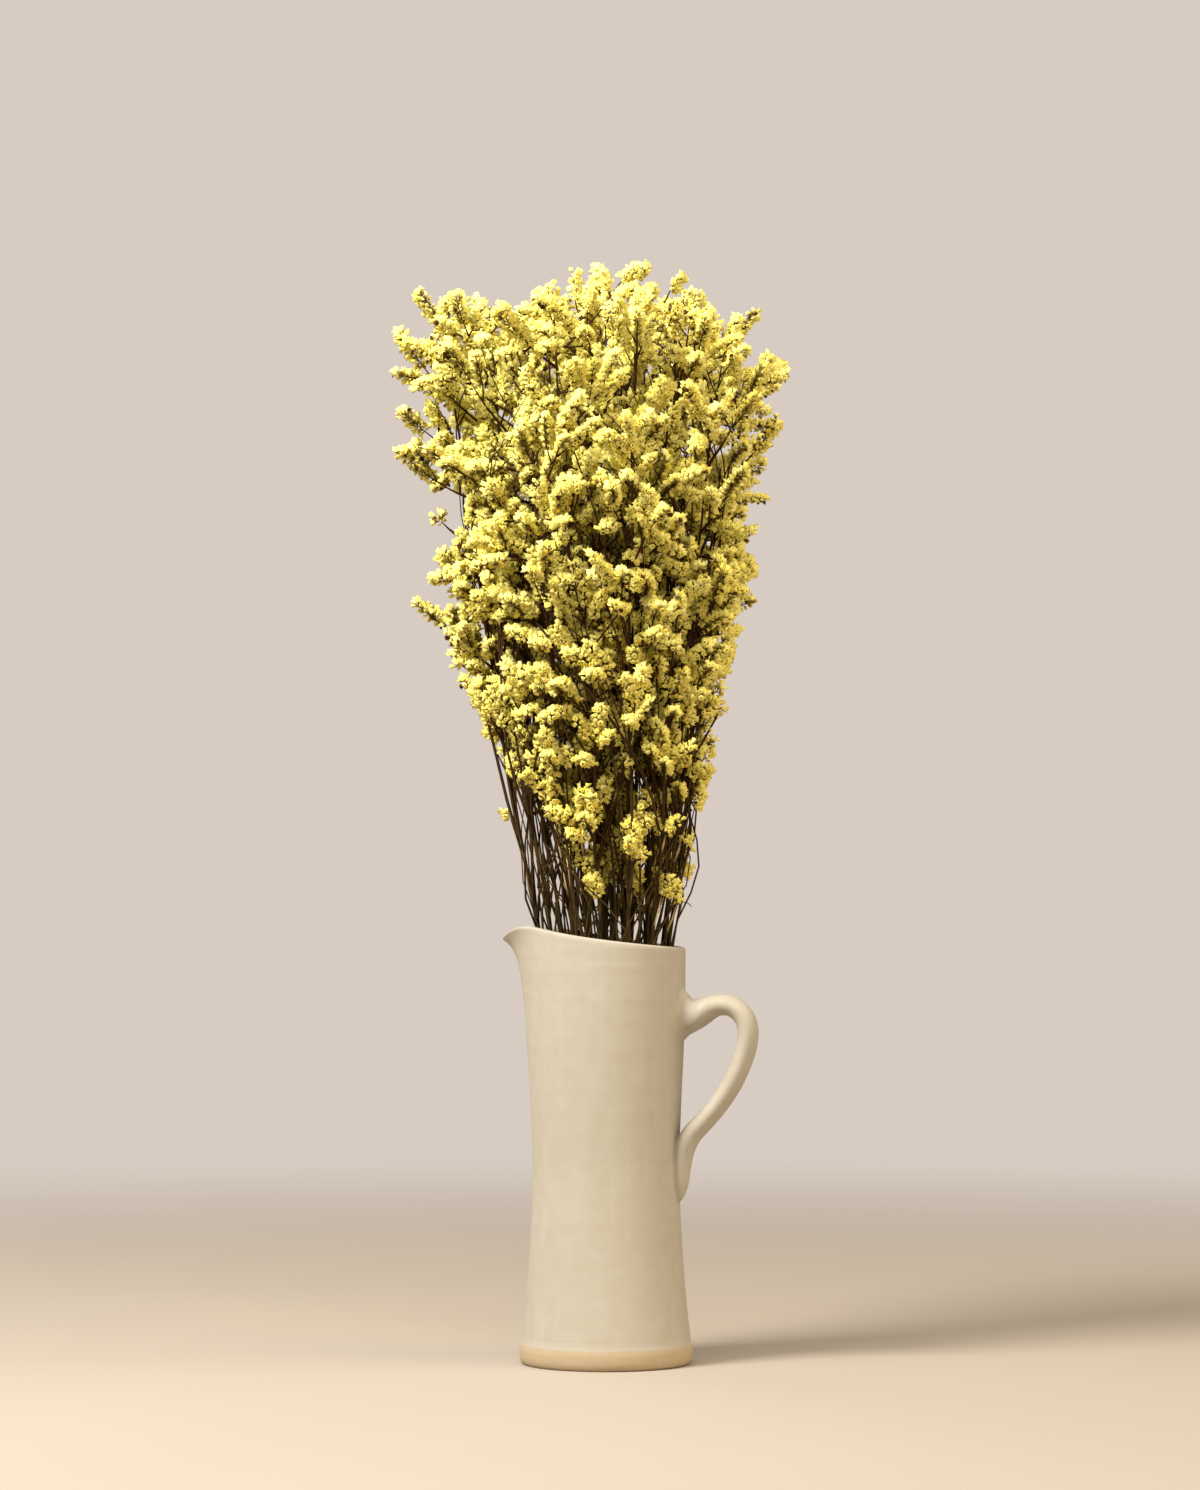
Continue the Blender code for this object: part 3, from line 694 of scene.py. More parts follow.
# %% What already stands in the bouquet
class Crowd:
    """Everything that already stands in the bouquet, as rods with a radius and an owner."""

    def __init__(self):
        self.rows = []
        self.arrays = None

    def add(self, owner, points, radius, is_head):
        self.rows += [(*a, *b, radius, owner, is_head) for a, b in zip(points, points[1:])]
        self.arrays = None

    def packed(self):
        if self.arrays is None:
            table = np.array(self.rows, dtype=float)
            self.arrays = (
                table[:, 0:3], table[:, 3:6], table[:, 6], table[:, 7].astype(int), table[:, 8] > 0.5,
            )
        return self.arrays

    def distances(self, a, b):
        """Least distance from the rod a to b to the centreline of every rod in the crowd."""
        starts, ends = self.packed()[:2]
        a = np.array(a)
        along = np.array(b) - a
        other = ends - starts
        offset = a - starts
        own = along @ along
        theirs = (other * other).sum(axis=1)
        cross = other @ along
        near = offset @ along
        far = (other * offset).sum(axis=1)
        spread = np.maximum(own * theirs - cross * cross, 1e-18)
        s = np.clip((cross * far - near * theirs) / spread, 0, 1)
        t = np.clip((cross * s + far) / theirs, 0, 1)
        s = np.clip((cross * t - near) / own, 0, 1)
        gap = offset + s[:, None] * along - t[:, None] * other
        return np.sqrt((gap * gap).sum(axis=1))


# %% Proposing a head or a twig
def direction(tilt, azimuth):
    """A way that leans by a tilt in degrees towards an azimuth."""
    across, rise = math.sin(math.radians(tilt)), math.cos(math.radians(tilt))
    return Vector((across * math.cos(azimuth), across * math.sin(azimuth), rise))


def bent_line(start, first, last, length, stations):
    """A line with points at shares of its length, that turns from one way to another."""
    points = [start.copy()]
    done = 0.0
    for station in stations:
        middle = (done + station) / 2
        heading = first.lerp(last, middle).normalized()
        points.append(points[-1] + heading * (station - done) * length)
        done = station
    return points


def depth_inside(point):
    """How far a point stands inside the shape that the heads fill together."""
    away = math.hypot(point.x - read_table(LEAN, point.z), point.y)
    return min(read_table(HEAD_REACH, point.z) - away, HEAD_REACH[-1][0] - point.z)


def inside_reach(point, radius):
    return point.z > HEAD_REACH[0][0] and depth_inside(point) >= radius


def head_stations():
    return [(i + 0.5) / (HEAD_RINGS + 0.3) for i in range(HEAD_RINGS)] + [1.0]


def propose_head(spray, size, rng):
    upward = (spray.stem[-1] - spray.stem[-2]).normalized()
    azimuth = spray.angle + rng.uniform(-TWIG_FAN, TWIG_FAN)
    last = direction(rng.uniform(0, STEM_HEAD_TILT), azimuth)
    length = HEAD_LENGTH * size * rng.uniform(*HEAD_VARIES)
    return bent_line(spray.stem[-1], upward, last, length, head_stations())


def twig_line(root, azimuth, splay, twig, head, rng):
    length = twig + head
    first = direction(splay, azimuth)
    last = direction(splay - TWIG_BEND, azimuth + rng.uniform(-TWIG_TWIST, TWIG_TWIST))
    stations = [twig * NECK_AT / length]
    stations += [(twig + head * station) / length for station in head_stations()]
    return bent_line(root, first, last, length, stations)


def propose_twig(spray, height, size, rng):
    fan = TWIG_FAN if spray.share > OUTER_SHARE else math.pi
    azimuth = spray.angle + rng.uniform(-fan, fan)
    splay = rng.uniform(*TWIG_SPLAY)
    twig = rng.uniform(*TWIG_LENGTH) * size
    head = HEAD_LENGTH * rng.uniform(*HEAD_VARIES) * size
    shift = rng.uniform(-ROOT_PLAY, ROOT_PLAY)
    root = min(height + shift * spray.spacing, spray.top - HIGHEST_ROOT)
    return twig_line(spray.stem_at(root), azimuth, splay, twig, head, rng)


# %% Choosing the freest place
def rate_strand(neck, head, size, owner, crowd):
    """How freely a neck and a head stand, or None where they would touch another spray."""
    radii, owners, heads = crowd.packed()[2:]
    foreign = owners != owner
    own_heads = heads & ~foreign
    room = ROOM_ENOUGH
    middle = head[len(head) // 2]
    if neck:
        gaps = crowd.distances(*neck) - radii - TWIG_ROOT
        if gaps[foreign].min() < CLEARANCE:
            return None
    for a, b in ((head[0], middle), (middle, head[-1])):
        gaps = crowd.distances(a, b) - radii - HEAD_SOLID * size
        if gaps[foreign].min() < CLEARANCE:
            return None
        if own_heads.any() and gaps[own_heads].min() < -OWN_OVERLAP:
            return None
        if heads.any():
            room = min(room, gaps[heads].min())
    return room


def freest(propose, rate):
    """The freest of many proposals with its size. Smaller sizes are tried where none stands free."""
    for size in HEAD_SIZES:
        best = None
        for attempt in range(TRIES):
            points = propose(size)
            rating = rate(points, size)
            if rating is not None and (best is None or rating > best[0]):
                best = (rating, points)
        if best:
            return best[1], size
    return None


def grow_stem_head(spray, owner, crowd, rng):
    def rate(points, size):
        if inside_reach(points[-1], 0.0):
            return rate_strand(None, points, size, owner, crowd)

    return freest(lambda size: propose_head(spray, size, rng), rate)


def grow_twig(spray, height, owner, crowd, rng):
    def rate(points, size):
        if inside_reach(points[-1], 0.0) and inside_reach(points[-4], HEAD_SOLID * size):
            room = rate_strand(points[:2], points[1:], size, owner, crowd)
            return None if room is None else room - EDGE_PULL * depth_inside(points[-1])

    return freest(lambda size: propose_twig(spray, height, size, rng), rate)


# %% Growing the whole bouquet
def plant_stems(rng):
    sprays = []
    for count, share, lowest, spacing, top_from, top_to in RINGS:
        turn = rng.uniform(0, math.tau)
        for i in range(count):
            angle = turn + math.tau * (i + rng.uniform(-ANGLE_PLAY, ANGLE_PLAY)) / count
            top = top_from + (top_to - top_from) * (((i + 1) * GOLDEN) % 1.0)
            bare = lowest + rng.uniform(0, BARE_SPREAD)
            place = share + rng.uniform(-SHARE_PLAY, SHARE_PLAY)
            spray = Spray(place, angle, bare, spacing, top)
            spray.grow_stem(rng)
            sprays.append(spray)
    return sprays


def keep_twig(spray, owner, points, size, crowd, rng):
    spray.add_strand(points[:2], points[2:], rng)
    crowd.add(owner, points[:2], TWIG_ROOT, False)
    crowd.add(owner, points[1:], HEAD_SOLID * size, True)


def grow_strays(sprays, crowd, rng):
    outer = sprays[-RINGS[-1][0]:]
    tall = [spray for spray in outer if spray.top > STRAYS[0][0] + HEAD_LENGTH]
    spray = min(tall, key=lambda one: math.cos(one.angle))
    for root, splay in STRAYS:
        points = twig_line(spray.stem_at(root), math.pi, splay, STRAY_TWIG, HEAD_LENGTH, rng)
        keep_twig(spray, sprays.index(spray), points, 1.0, crowd, rng)


def grow_bouquet():
    rng = random.Random(SEED)
    sprays = plant_stems(rng)
    crowd = Crowd()
    for owner, spray in enumerate(sprays):
        crowd.add(owner, spray.stem, STEM_THICK, False)
    for owner, spray in enumerate(sprays):
        head, size = grow_stem_head(spray, owner, crowd, rng) or ([], 1.0)
        spray.add_strand(spray.stem, head[1:], rng)
        if head:
            crowd.add(owner, head, HEAD_SOLID * size, True)
    grow_strays(sprays, crowd, rng)
    slots = [(height, owner) for owner, spray in enumerate(sprays) for height in spray.twig_heights()]
    for height, owner in sorted(slots, reverse=True):  # from the top down
        found = grow_twig(sprays[owner], height, owner, crowd, rng)
        if found:
            keep_twig(sprays[owner], owner, *found, crowd, rng)
    return sprays


def turned_to_front(point):
    """From picture coordinates to the pitcher's own."""
    turn, rise = math.cos(FRONT_TURN), math.sin(FRONT_TURN)
    return Vector((point.x * turn - point.y * rise, point.x * rise + point.y * turn, point.z))


sprays = grow_bouquet()
for spray in sprays:
    for points, neck in spray.strands:
        points[:] = [turned_to_front(point) for point in points]
heads = [len(points) > neck + 1 for spray in sprays for points, neck in spray.strands]
print("Sprays:", len(sprays), "heads:", sum(heads))

# %% Compare the growth with the solids
worst = 0.0
for number, spray in enumerate(sprays, start=1):
    low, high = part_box(f"spray_{number:02d}")
    places = np.array([tuple(point) for points, neck in spray.strands for point in points])
    worst = max(worst, *(np.array(low) - places.min(axis=0)), *(places.max(axis=0) - np.array(high)))
print("A line leaves its solid's box by at most", round(worst / MM, 2), "mm")

# %% [markdown]
# From heads to spikes
#
# Seen close, a head of statice is a fork of several spikes like small caterpillars. Each leaves
# its twig on a bare brown stalk, leans out, rises again and nods at its tip, and the florets
# crowd along its upper side. A head in the CAD source is one lobed solid; here it becomes one
# leading spike on the solid's own middle line and four or five side spikes around it. A head
# that stands outside the outline of the bunch, seen from the front, is shorter and thinner.

# %% Spikes of a head
UP = Vector((0, 0, 1))
SIDE_SPIKES = (4, 5)
SPIKE_LEAVES = (-0.3, 0.45)
SPIKE_SPLAY = (32.0, 68.0)
SPIKE_SHARE = (0.46, 0.72)
SPIKE_STALK = (0.22, 0.46)
SPIKE_RISE = (-0.2, 0.8)
SPIKE_NOD = (0.2, 1.15)
SPIKE_POINTS = 9
LEAD_NODS_FROM = 0.42
LEAD_NOD = (0.3, 1.5)
LEAD_STALK = (0.36, 0.52)
LEAD_WIDTH = 1.02
SIDE_WIDTH = 0.95
EDGE_STALK = 0.6
EDGE_SPIKES = 2
EDGE_LENGTH = 0.7
TURN_PLAY = 0.3
LEFT_EDGE = in_mm(  # height, how far the florets reach to the left of the axis from the front
    (290.0, 14.0), (320.0, 26.0), (356.0, 46.0), (377.0, 68.0), (414.0, 86.0),
    (439.0, 96.0), (455.0, 112.0), (490.0, 129.0), (500.0, 98.0), (514.0, 85.0),
    (532.0, 100.0), (548.0, 130.0),
)
RIGHT_EDGE = in_mm(
    (300.0, 48.0), (333.0, 42.0), (352.0, 60.0), (426.0, 75.0), (476.0, 94.0),
    (520.0, 102.0), (545.0, 112.0), (588.0, 122.0),
)
TOP_EDGE = in_mm(  # place across, how high the florets seem to reach there
    (-118.0, 666.0), (-100.0, 680.0), (-60.0, 677.0), (-42.0, 662.0), (-20.0, 678.0),
    (30.0, 679.0), (76.0, 666.0), (105.0, 641.0), (118.0, 618.0),
)


def has_room(point):
    """If a place lies inside the outline that the florets have from the front."""
    across = point.x * math.cos(FRONT_TURN) + point.y * math.sin(FRONT_TURN)
    nearer = point.x * math.sin(FRONT_TURN) - point.y * math.cos(FRONT_TURN)
    seen = CAMERA_HEIGHT + (point.z - CAMERA_HEIGHT) / (1 - nearer / CAMERA_DISTANCE)
    if seen > read_table(TOP_EDGE, across):
        return False
    return -read_table(LEFT_EDGE, point.z) < across < read_table(RIGHT_EDGE, point.z)


class Spike:
    """A line that carries florets from a share of its length on, with its upper side."""

    def __init__(self, line, bare, upper, width):
        self.line, self.bare, self.upper, self.width = line, bare, upper, width


def square_to(heading, wish):
    """The way closest to a wish that is square to a heading."""
    side = wish - heading * wish.dot(heading)
    return side.normalized() if side.length > 0.05 else heading.orthogonal().normalized()


def upper_side(heading, away):
    """The side of a line that faces the light: up, and away from the bouquet's middle."""
    return square_to(heading, UP * 0.75 + away * 0.65)


def sideways(heading, turn):
    """The way square to a heading at an angle round it."""
    return Matrix.Rotation(turn, 3, heading) @ heading.orthogonal().normalized()


def length_of(points):
    return sum((b - a).length for a, b in zip(points, points[1:]))


def line_point(points, share):
    """The place and the heading at a share of a line with even steps."""
    at = limited(share, 0.0, 0.9999) * (len(points) - 1)
    k = int(at)
    low, high = points[k], points[k + 1]
    return low.lerp(high, at - k), (high - low).normalized()


def away_from_middle(point):
    away = Vector((point.x, point.y, 0.0))
    return away.normalized() if away.length > 5 * MM else Vector((0, 0, 0))


def nodding(points, start, turn, way):
    """Bends the end of a line over, more and more from a share of it on, keeping its steps."""
    bent = points[:1]
    for k, (a, b) in enumerate(zip(points, points[1:])):
        late = max((k + 1) / len(points) - start, 0) / (1 - start)
        heading = ((b - a).normalized() + way * turn * late ** 1.5).normalized()
        bent.append(bent[-1] + heading * (b - a).length)
    return bent


def side_spike(root, heading, around, length, rng):
    """Leaves at a splay, rises again, and nods over at the tip."""
    outward = sideways(heading, around)
    splay = math.radians(rng.uniform(*SPIKE_SPLAY))
    rise = rng.uniform(*SPIKE_RISE)
    nod = rng.uniform(*SPIKE_NOD)
    points = [root]
    for i in range(SPIKE_POINTS):
        share = (i + 0.5) / SPIKE_POINTS
        lean = math.tan(splay) * (1 - 0.95 * share) + nod * max(share - 0.5, 0) * 2
        way = heading + outward * lean + UP * (rise * share - nod * 0.6 * share ** 2)
        points.append(points[-1] + way.normalized() * (length / SPIKE_POINTS))
    return points


def spikes_of(points, neck, rng):
    """The leading spike on the solid's line, and side spikes that leave it and its twig."""
    base = points[neck]
    head = [base] + points[neck + 1:]
    lead = [Vector(row) for row in soft_line(head, 3)]
    length = length_of(head)
    away = away_from_middle(lead[-1])
    is_full = has_room(base) and has_room(lead[-1])
    drift = rng.uniform(0, math.tau)
    nod_way = away * 0.2 + UP * rng.uniform(-0.8, 0.4) + level(drift) * 0.9
    lead = nodding(lead, LEAD_NODS_FROM, rng.uniform(*LEAD_NOD), nod_way)
    while len(lead) > SPIKE_POINTS - 2 and not has_room(lead[-1]):
        lead.pop()
    side = upper_side((lead[-1] - lead[0]).normalized(), away)
    spikes = [Spike(lead, rng.uniform(*LEAD_STALK) if is_full else EDGE_STALK, side, LEAD_WIDTH)]
    count = rng.choice(SIDE_SPIKES) if is_full else EDGE_SPIKES
    turn = rng.uniform(0, math.tau)
    lowest, highest = SPIKE_LEAVES
    for i in range(count):
        share = lowest + (highest - lowest) * (i + rng.uniform(0, 0.7)) / count
        if share < 0:
            twig = base - points[neck - 1]
            root = base.lerp(points[neck - 1], min(-share * length / twig.length, 0.8))
            heading = twig.normalized()
        else:
            root, heading = line_point(lead, share)
        around = turn + math.tau * i * GOLDEN + rng.uniform(-TURN_PLAY, TURN_PLAY)
        reach = length * rng.uniform(*SPIKE_SHARE) * (1.15 - 0.5 * max(share, 0))
        line = side_spike(root, heading, around, reach * (1.0 if is_full else EDGE_LENGTH), rng)
        if has_room(line[-1]):
            side = upper_side((line[-1] - line[0]).normalized(), away)
            spikes.append(Spike(line, rng.uniform(*SPIKE_STALK), side, SIDE_WIDTH))
    return spikes


rng = random.Random(SEED + 1)
for spray in sprays:
    spray.spikes = []
    for points, neck in spray.strands:
        if len(points) > neck + 1:
            spray.spikes += spikes_of(points, neck, rng)
lengths = [length_of(spike.line) for spray in sprays for spike in spray.spikes]
print("Spikes:", len(lengths), "with", round(sum(lengths), 1), "m of line")

# %% [markdown]
# Fine stems
#
# Between the stout stems of the real bunch stand many hair-thin ones that cross each other, and
# most carry a small late spike of florets. They leave the stems inside the pitcher or above it.
# A few are pale and dry, tendrils curl out of the bundle, and short twigs stand near the rim.
# All of them are drawn as lines first, like the spikes.

# %% Draw the fine stems
FINE_STEMS = (11, 14)
FINE_ROOT = (150.0 * MM, 340.0 * MM)
HIGH_ROOT = (340.0 * MM, 500.0 * MM)
HIGH_SHARE = 0.4
FINE_LENGTH = (90.0 * MM, 240.0 * MM)
FINE_HIGHEST = 628.0 * MM
FINE_STRAY = 2.2
FINE_SHIFT = (-0.5, 0.35)
FINE_STEP = 17.0 * MM
FINE_BEND = 2.8
FINE_WAVE = 52 * MM
TOP_ROOM = 60 * MM
BOW_FROM = 268.0 * MM
BOW_EASE = 150.0 * MM
BOW_TO = 465.0 * MM
BOW_ABOVE = 1.03
FORK_LEAVES = (0.4, 0.85)
FORK_LENGTH = (16.0 * MM, 48.0 * MM)
FORK_SPLAY = (0.3, 0.75)
FORK_POINTS = 4
FORK_LOWEST = 288.0 * MM
FORK_STRAY = 4.0 * MM
BOX_ROOM = 1.5 * MM


def stem_point(spray, height):
    """The place of a spray's main stem at a height."""
    points, neck = spray.strands[0]
    at = next((k for k in range(neck) if points[k + 1].z >= height), neck - 1)
    low, high = points[at], points[at + 1]
    return low.lerp(high, (height - low.z) / (high.z - low.z))


def fine_stem(spray, rng):
    """A thin stem that leaves the main one and crosses slowly to another part of the bundle."""
    roots = HIGH_ROOT if rng.random() < HIGH_SHARE else FINE_ROOT
    foot = min(rng.uniform(*roots), spray.top - TOP_ROOM)
    top = min(foot + rng.uniform(*FINE_LENGTH), FINE_HIGHEST)
    share = limited(spray.share + rng.uniform(*FINE_SHIFT), 0.1)
    angle = spray.angle + rng.uniform(-FINE_STRAY, FINE_STRAY)
    steps = max(round((top - foot) / FINE_STEP), 4)
    bulge = 0.3 * rng.random() ** 2.2 - 0.05
    drift = stem_point(spray, foot) - turned_to_front(bundle_point(spray.share, spray.angle, foot))
    line = []
    for i in range(steps + 1):
        part = i / steps
        ease = part ** 1.3
        height = foot + (top - foot) * part
        across = spray.share + (share - spray.share) * ease + bulge * math.sin(math.pi * part)
        above_rim = 1.0 + max(height - BOW_FROM, 0.0) / BOW_EASE
        below_florets = BOW_ABOVE + max(BOW_TO - height, 0.0) / BOW_EASE
        across = min(across, above_rim, below_florets)
        place = bundle_point(across, spray.angle + (angle - spray.angle) * ease, height)
        wave = noise.noise_vector(Vector((angle * 7, share * 9, height / FINE_WAVE)))
        bend = wave * FINE_BEND * MM * min(part * 3, 1.0)
        line.append(turned_to_front(place) + drift * (1 - part) ** 2 + Vector((bend.x, bend.y, 0.0)))
    return line


def held_inside(point):
    """Keeps a point a little inside the CAD box."""
    sides = zip(point, cad_low, cad_high)
    return Vector([limited(p, low + BOX_ROOM, high - BOX_ROOM) for p, low, high in sides])


def stays_near(point):
    """If a place is still close to the bundle of stems."""
    away = math.hypot(point.x - read_table(LEAN, point.z), point.y)
    return away < read_table(BUNDLE_RADIUS, point.z) + FORK_STRAY


def fork(line, rng):
    """A short twig that leaves a fine stem at a narrow angle and bends back beside it."""
    start, heading = line_point(line, rng.uniform(*FORK_LEAVES))
    outward = sideways(heading, rng.uniform(0, math.tau))
    step = rng.uniform(*FORK_LENGTH) / FORK_POINTS
    splay = rng.uniform(*FORK_SPLAY)
    points = [start]
    for i in range(FORK_POINTS):
        way = heading + outward * splay * (1 - 0.8 * i / FORK_POINTS)
        points.append(points[-1] + way.normalized() * step)
    return [held_inside(point) for point in points]


fine_rng = random.Random(SEED + 2)
for spray in sprays:
    spray.fine = [fine_stem(spray, fine_rng) for i in range(fine_rng.randint(*FINE_STEMS))]
    forks = [fork(line, fine_rng) for line in spray.fine for twice in range(2)]
    spray.fine += [line for line in forks if line[0].z > FORK_LOWEST and stays_near(line[-1])]
print("Fine stems:", sum(len(spray.fine) for spray in sprays))

# %% Pale strands and tendrils
PALE_SHARE = 0.035
TENDRIL_SHARE = 0.22
TENDRIL_ROOT = (272.0 * MM, 325.0 * MM)
TENDRIL_REACH = (6.0 * MM, 13.0 * MM)
TENDRIL_CURL = (2.2, 4.4)
TENDRIL_POINTS = 10


def tendril(spray, rng):
    """A hair-thin dry strand that arches out of the bundle and curls down."""
    start = stem_point(spray, rng.uniform(*TENDRIL_ROOT))
    outward = away_from_middle(start)
    reach = rng.uniform(*TENDRIL_REACH)
    curl = rng.uniform(*TENDRIL_CURL)
    points = []
    for i in range(TENDRIL_POINTS):
        turn = curl * i / (TENDRIL_POINTS - 1)
        way = outward * (1 - math.cos(turn)) * 0.5 + UP * math.sin(turn) * 0.6
        points.append(start + way * reach)
    return points


for spray in sprays:
    spray.pale = [line for line in spray.fine if fine_rng.random() < PALE_SHARE]
    spray.fine = [line for line in spray.fine if line not in spray.pale]
    has_one = spray.share > OUTER_SHARE and fine_rng.random() < TENDRIL_SHARE
    spray.tendrils = [tendril(spray, fine_rng)] if has_one else []
print("Pale strands:", sum(len(spray.pale) + len(spray.tendrils) for spray in sprays))

# %% Low twigs just above the rim
LOW_TWIGS = 3
LOW_TWIG_SHARE = 0.85
LOW_TWIG_ROOT = (262.0 * MM, 316.0 * MM)
LOW_TWIG = (12.0 * MM, 26.0 * MM)
LOW_TWIG_SPLAY = 0.5
LOW_TIP = 274.0 * MM


def low_twig(spray, rng):
    """A short twig on the outside of an outer stem, that rises beside it."""
    root = stem_point(spray, rng.uniform(*LOW_TWIG_ROOT))
    way = (UP + away_from_middle(root) * rng.uniform(0, LOW_TWIG_SPLAY)).normalized()
    length = rng.uniform(*LOW_TWIG)
    return [root, root + way * length * 0.5, root + (way + UP * 0.15).normalized() * length]


for spray in sprays:
    drawn = [low_twig(spray, fine_rng) for i in range(LOW_TWIGS) if fine_rng.random() < LOW_TWIG_SHARE]
    spray.low = [line for line in drawn if spray.share > OUTER_SHARE and line[-1].z > LOW_TIP]
    spray.fine += spray.low
print("Low twigs:", sum(len(spray.low) for spray in sprays))

# %% Small spikes on the fine stems
LATE_SPIKES = (1, 2)
LATE_SPIKE = (8.0 * MM, 18.0 * MM)
LATE_STEP = 0.07
LATE_STALK = 0.15
LATE_WIDTH = 0.88
LATE_LOWEST = 272.0 * MM
LATE_DENSE_TO = 395.0 * MM
LOW_CHANCE = 0.95
HIGH_CHANCE = 0.72

for spray in sprays:
    for line in spray.fine:
        if line[-1].z < LATE_LOWEST or not has_room(line[-1]):
            continue
        if fine_rng.random() > (LOW_CHANCE if line[-1].z < LATE_DENSE_TO else HIGH_CHANCE):
            continue
        for i in range(fine_rng.randint(*LATE_SPIKES)):
            start, heading = line_point(line, 1.0 - LATE_STEP * i)
            length = fine_rng.uniform(*LATE_SPIKE)
            spike = side_spike(start, heading, fine_rng.uniform(0, math.tau), length, fine_rng)
            side = upper_side((spike[-1] - spike[0]).normalized(), away_from_middle(spike[-1]))
            spray.spikes.append(Spike(spike, LATE_STALK, side, LATE_WIDTH))
print("Spikes with the late ones:", sum(len(spray.spikes) for spray in sprays))

# %% [markdown]
# Tubes for the stems
#
# A stem is a thin tube that tapers, with slight swellings. A curve object holds many lines with
# a radius at every point, and Blender's round bevel makes the tubes. Six sides are enough for
# something under five millimetres thick, and four for a hair.

# %% Stems of each spray
STEM_FOOT = 1.35 * MM
STEM_TIP = 0.62 * MM
STEM_VARIES = (0.9, 1.75)
STEM_WANDERS = 0.9 * MM
TWIG_BOW = 0.08
STALK_RADIUS = 0.6 * MM
FINE_RADIUS = (0.48 * MM, 1.15 * MM)
HIGH_THIN = 0.68
PALE_RADIUS = 0.55 * MM
TENDRIL_RADIUS = 0.28 * MM
STOUT_SIDES, THIN_SIDES = 6, 4


def wandering(rows, amount, seed):
    """Moves the points of a line a little aside, as grown wood does."""
    moved = []
    for row in rows:
        place = Vector(row[:3])
        shift = noise.noise_vector(place * 55 + Vector((seed, 0, 0))) * amount
        moved.append((*(place + Vector((shift.x, shift.y, 0.0))), row[3]))
    return moved


def stem_rows(points, neck, stout):
    """The main stem: tapered over its whole length, with slight swellings."""
    stem = points[:neck + 1]
    foot, top = stem[0].z, stem[-1].z
    foot_radius = STEM_FOOT * stout
    shares = [((point.z - foot) / (top - foot)) ** 0.7 for point in stem]
    rows = [(*p, foot_radius + (STEM_TIP - foot_radius) * share) for p, share in zip(stem, shares)]
    fine = soft_line(rows, 5)
    moved = wandering(fine[1:], STEM_WANDERS, neck)
    swell = [1 + 0.16 * max(noise.noise(Vector(row[:3]) * 130), 0) for row in moved]
    return [tuple(fine[0])] + [(*row[:3], row[3] * s) for row, s in zip(moved, swell)]


def twig_rows(points, neck):
    """A twig from its root in the stem to its neck, bent a little rather than straight."""
    root, end = points[0], points[neck]
    following = points[neck + 1]
    bow = (following - end).normalized() - (end - root).normalized()
    middle = root.lerp(end, 0.5) - bow * (end - root).length * TWIG_BOW
    rows = [(*root, TWIG_ROOT * 1.2), (*middle, TWIG_ROOT * 0.95), (*end, TWIG_NECK * 0.95)]
    return soft_line(rows, 3)


def spike_rows(spike):
    """Every other point of a spike, without its tip."""
    last = len(spike.line) - 1
    radii = [STALK_RADIUS * (1 - 0.55 * k / last) for k in range(last + 1)]
    return [(*held_inside(point), radius) for point, radius in zip(spike.line, radii)][:-1:2]


def fine_rows(line, radius):
    """A fine stem: thinner where it starts among the florets."""
    last = len(line) - 1
    radius *= HIGH_THIN if line[0].z > FINE_ROOT[1] else 1.0
    return [(*p, radius * (1 - 0.45 * k / last)) for k, p in enumerate(line)]


stem_rng = random.Random(SEED + 4)
stem_pieces = []
for number, spray in enumerate(sprays, start=1):
    points, neck = spray.strands[0]
    stout = [stem_rows(points, neck, stem_rng.uniform(*STEM_VARIES))]
    stout += [twig_rows(points, neck) for points, neck in spray.strands[1:]]
    thin = [spike_rows(spike) for spike in spray.spikes]
    thin += [fine_rows(line, stem_rng.uniform(*FINE_RADIUS)) for line in spray.fine]
    pale = [fine_rows(line, PALE_RADIUS) for line in spray.pale]
    pale += [[(*held_inside(point), TENDRIL_RADIUS) for point in line] for line in spray.tendrils]
    work = bmesh.new()
    add_tubes(work, stout, STOUT_SIDES)
    add_tubes(work, thin, THIN_SIDES)
    dark_count = len(work.verts)
    if pale:
        add_tubes(work, pale, THIN_SIDES)
    bmesh.ops.triangulate(work, faces=work.faces)
    piece = to_object(work, f"stems_{number:02d}")
    shade = np.zeros((len(piece.data.vertices), 4))
    shade[dark_count:, 0] = 1.0
    piece.data.attributes.new("bark", "FLOAT_COLOR", "POINT").data.foreach_set("color", shade.ravel())
    stem_pieces.append(piece)
print("Triangles of all stems:", sum(len(piece.data.polygons) for piece in stem_pieces))

# %% [markdown]
# Bark
#
# Dried statice stems are dark brown above and olive below, ridged along their length and dull. The
# ridges are a noise drawn out along the height: it raises them with a bump and paints them paler, a
# painted highlight along the ridges.

# %% Mix the bark
bark = Finish("brown_bark", Roughness=0.8, Specular_IOR_Level=0.12)
rise = bark.axis("Z").step(0.22, 0.46)
ridges = bark.noise(1300.0, 2.0, bark.stretched(1.0, 1.0, 0.05))
patches = bark.noise(75.0, 3.0)
young = bark.mix(patches, srgb(36, 28, 9), srgb(80, 63, 26))
old = bark.mix(patches, srgb(34, 20, 8), srgb(76, 47, 23))
wood = bark.mix(rise, young, old)
# Painted highlight: where the ridge noise is high the bark is mixed towards a paler brown.
wood = bark.mix((ridges * 2.4 - 1.1).clamped() * 0.35, wood, srgb(110, 84, 50))
straw = bark.mix(bark.axis("Z").step(0.33, 0.42), srgb(206, 178, 128), srgb(176, 172, 88))
wood = bark.mix(bark.channel(bark.noted("bark"), "Red"), wood, straw)
bark.wear(Base_Color=wood, Roughness=0.7 + ridges * 0.2)
bark.bump(ridges, 0.0003, 0.7)

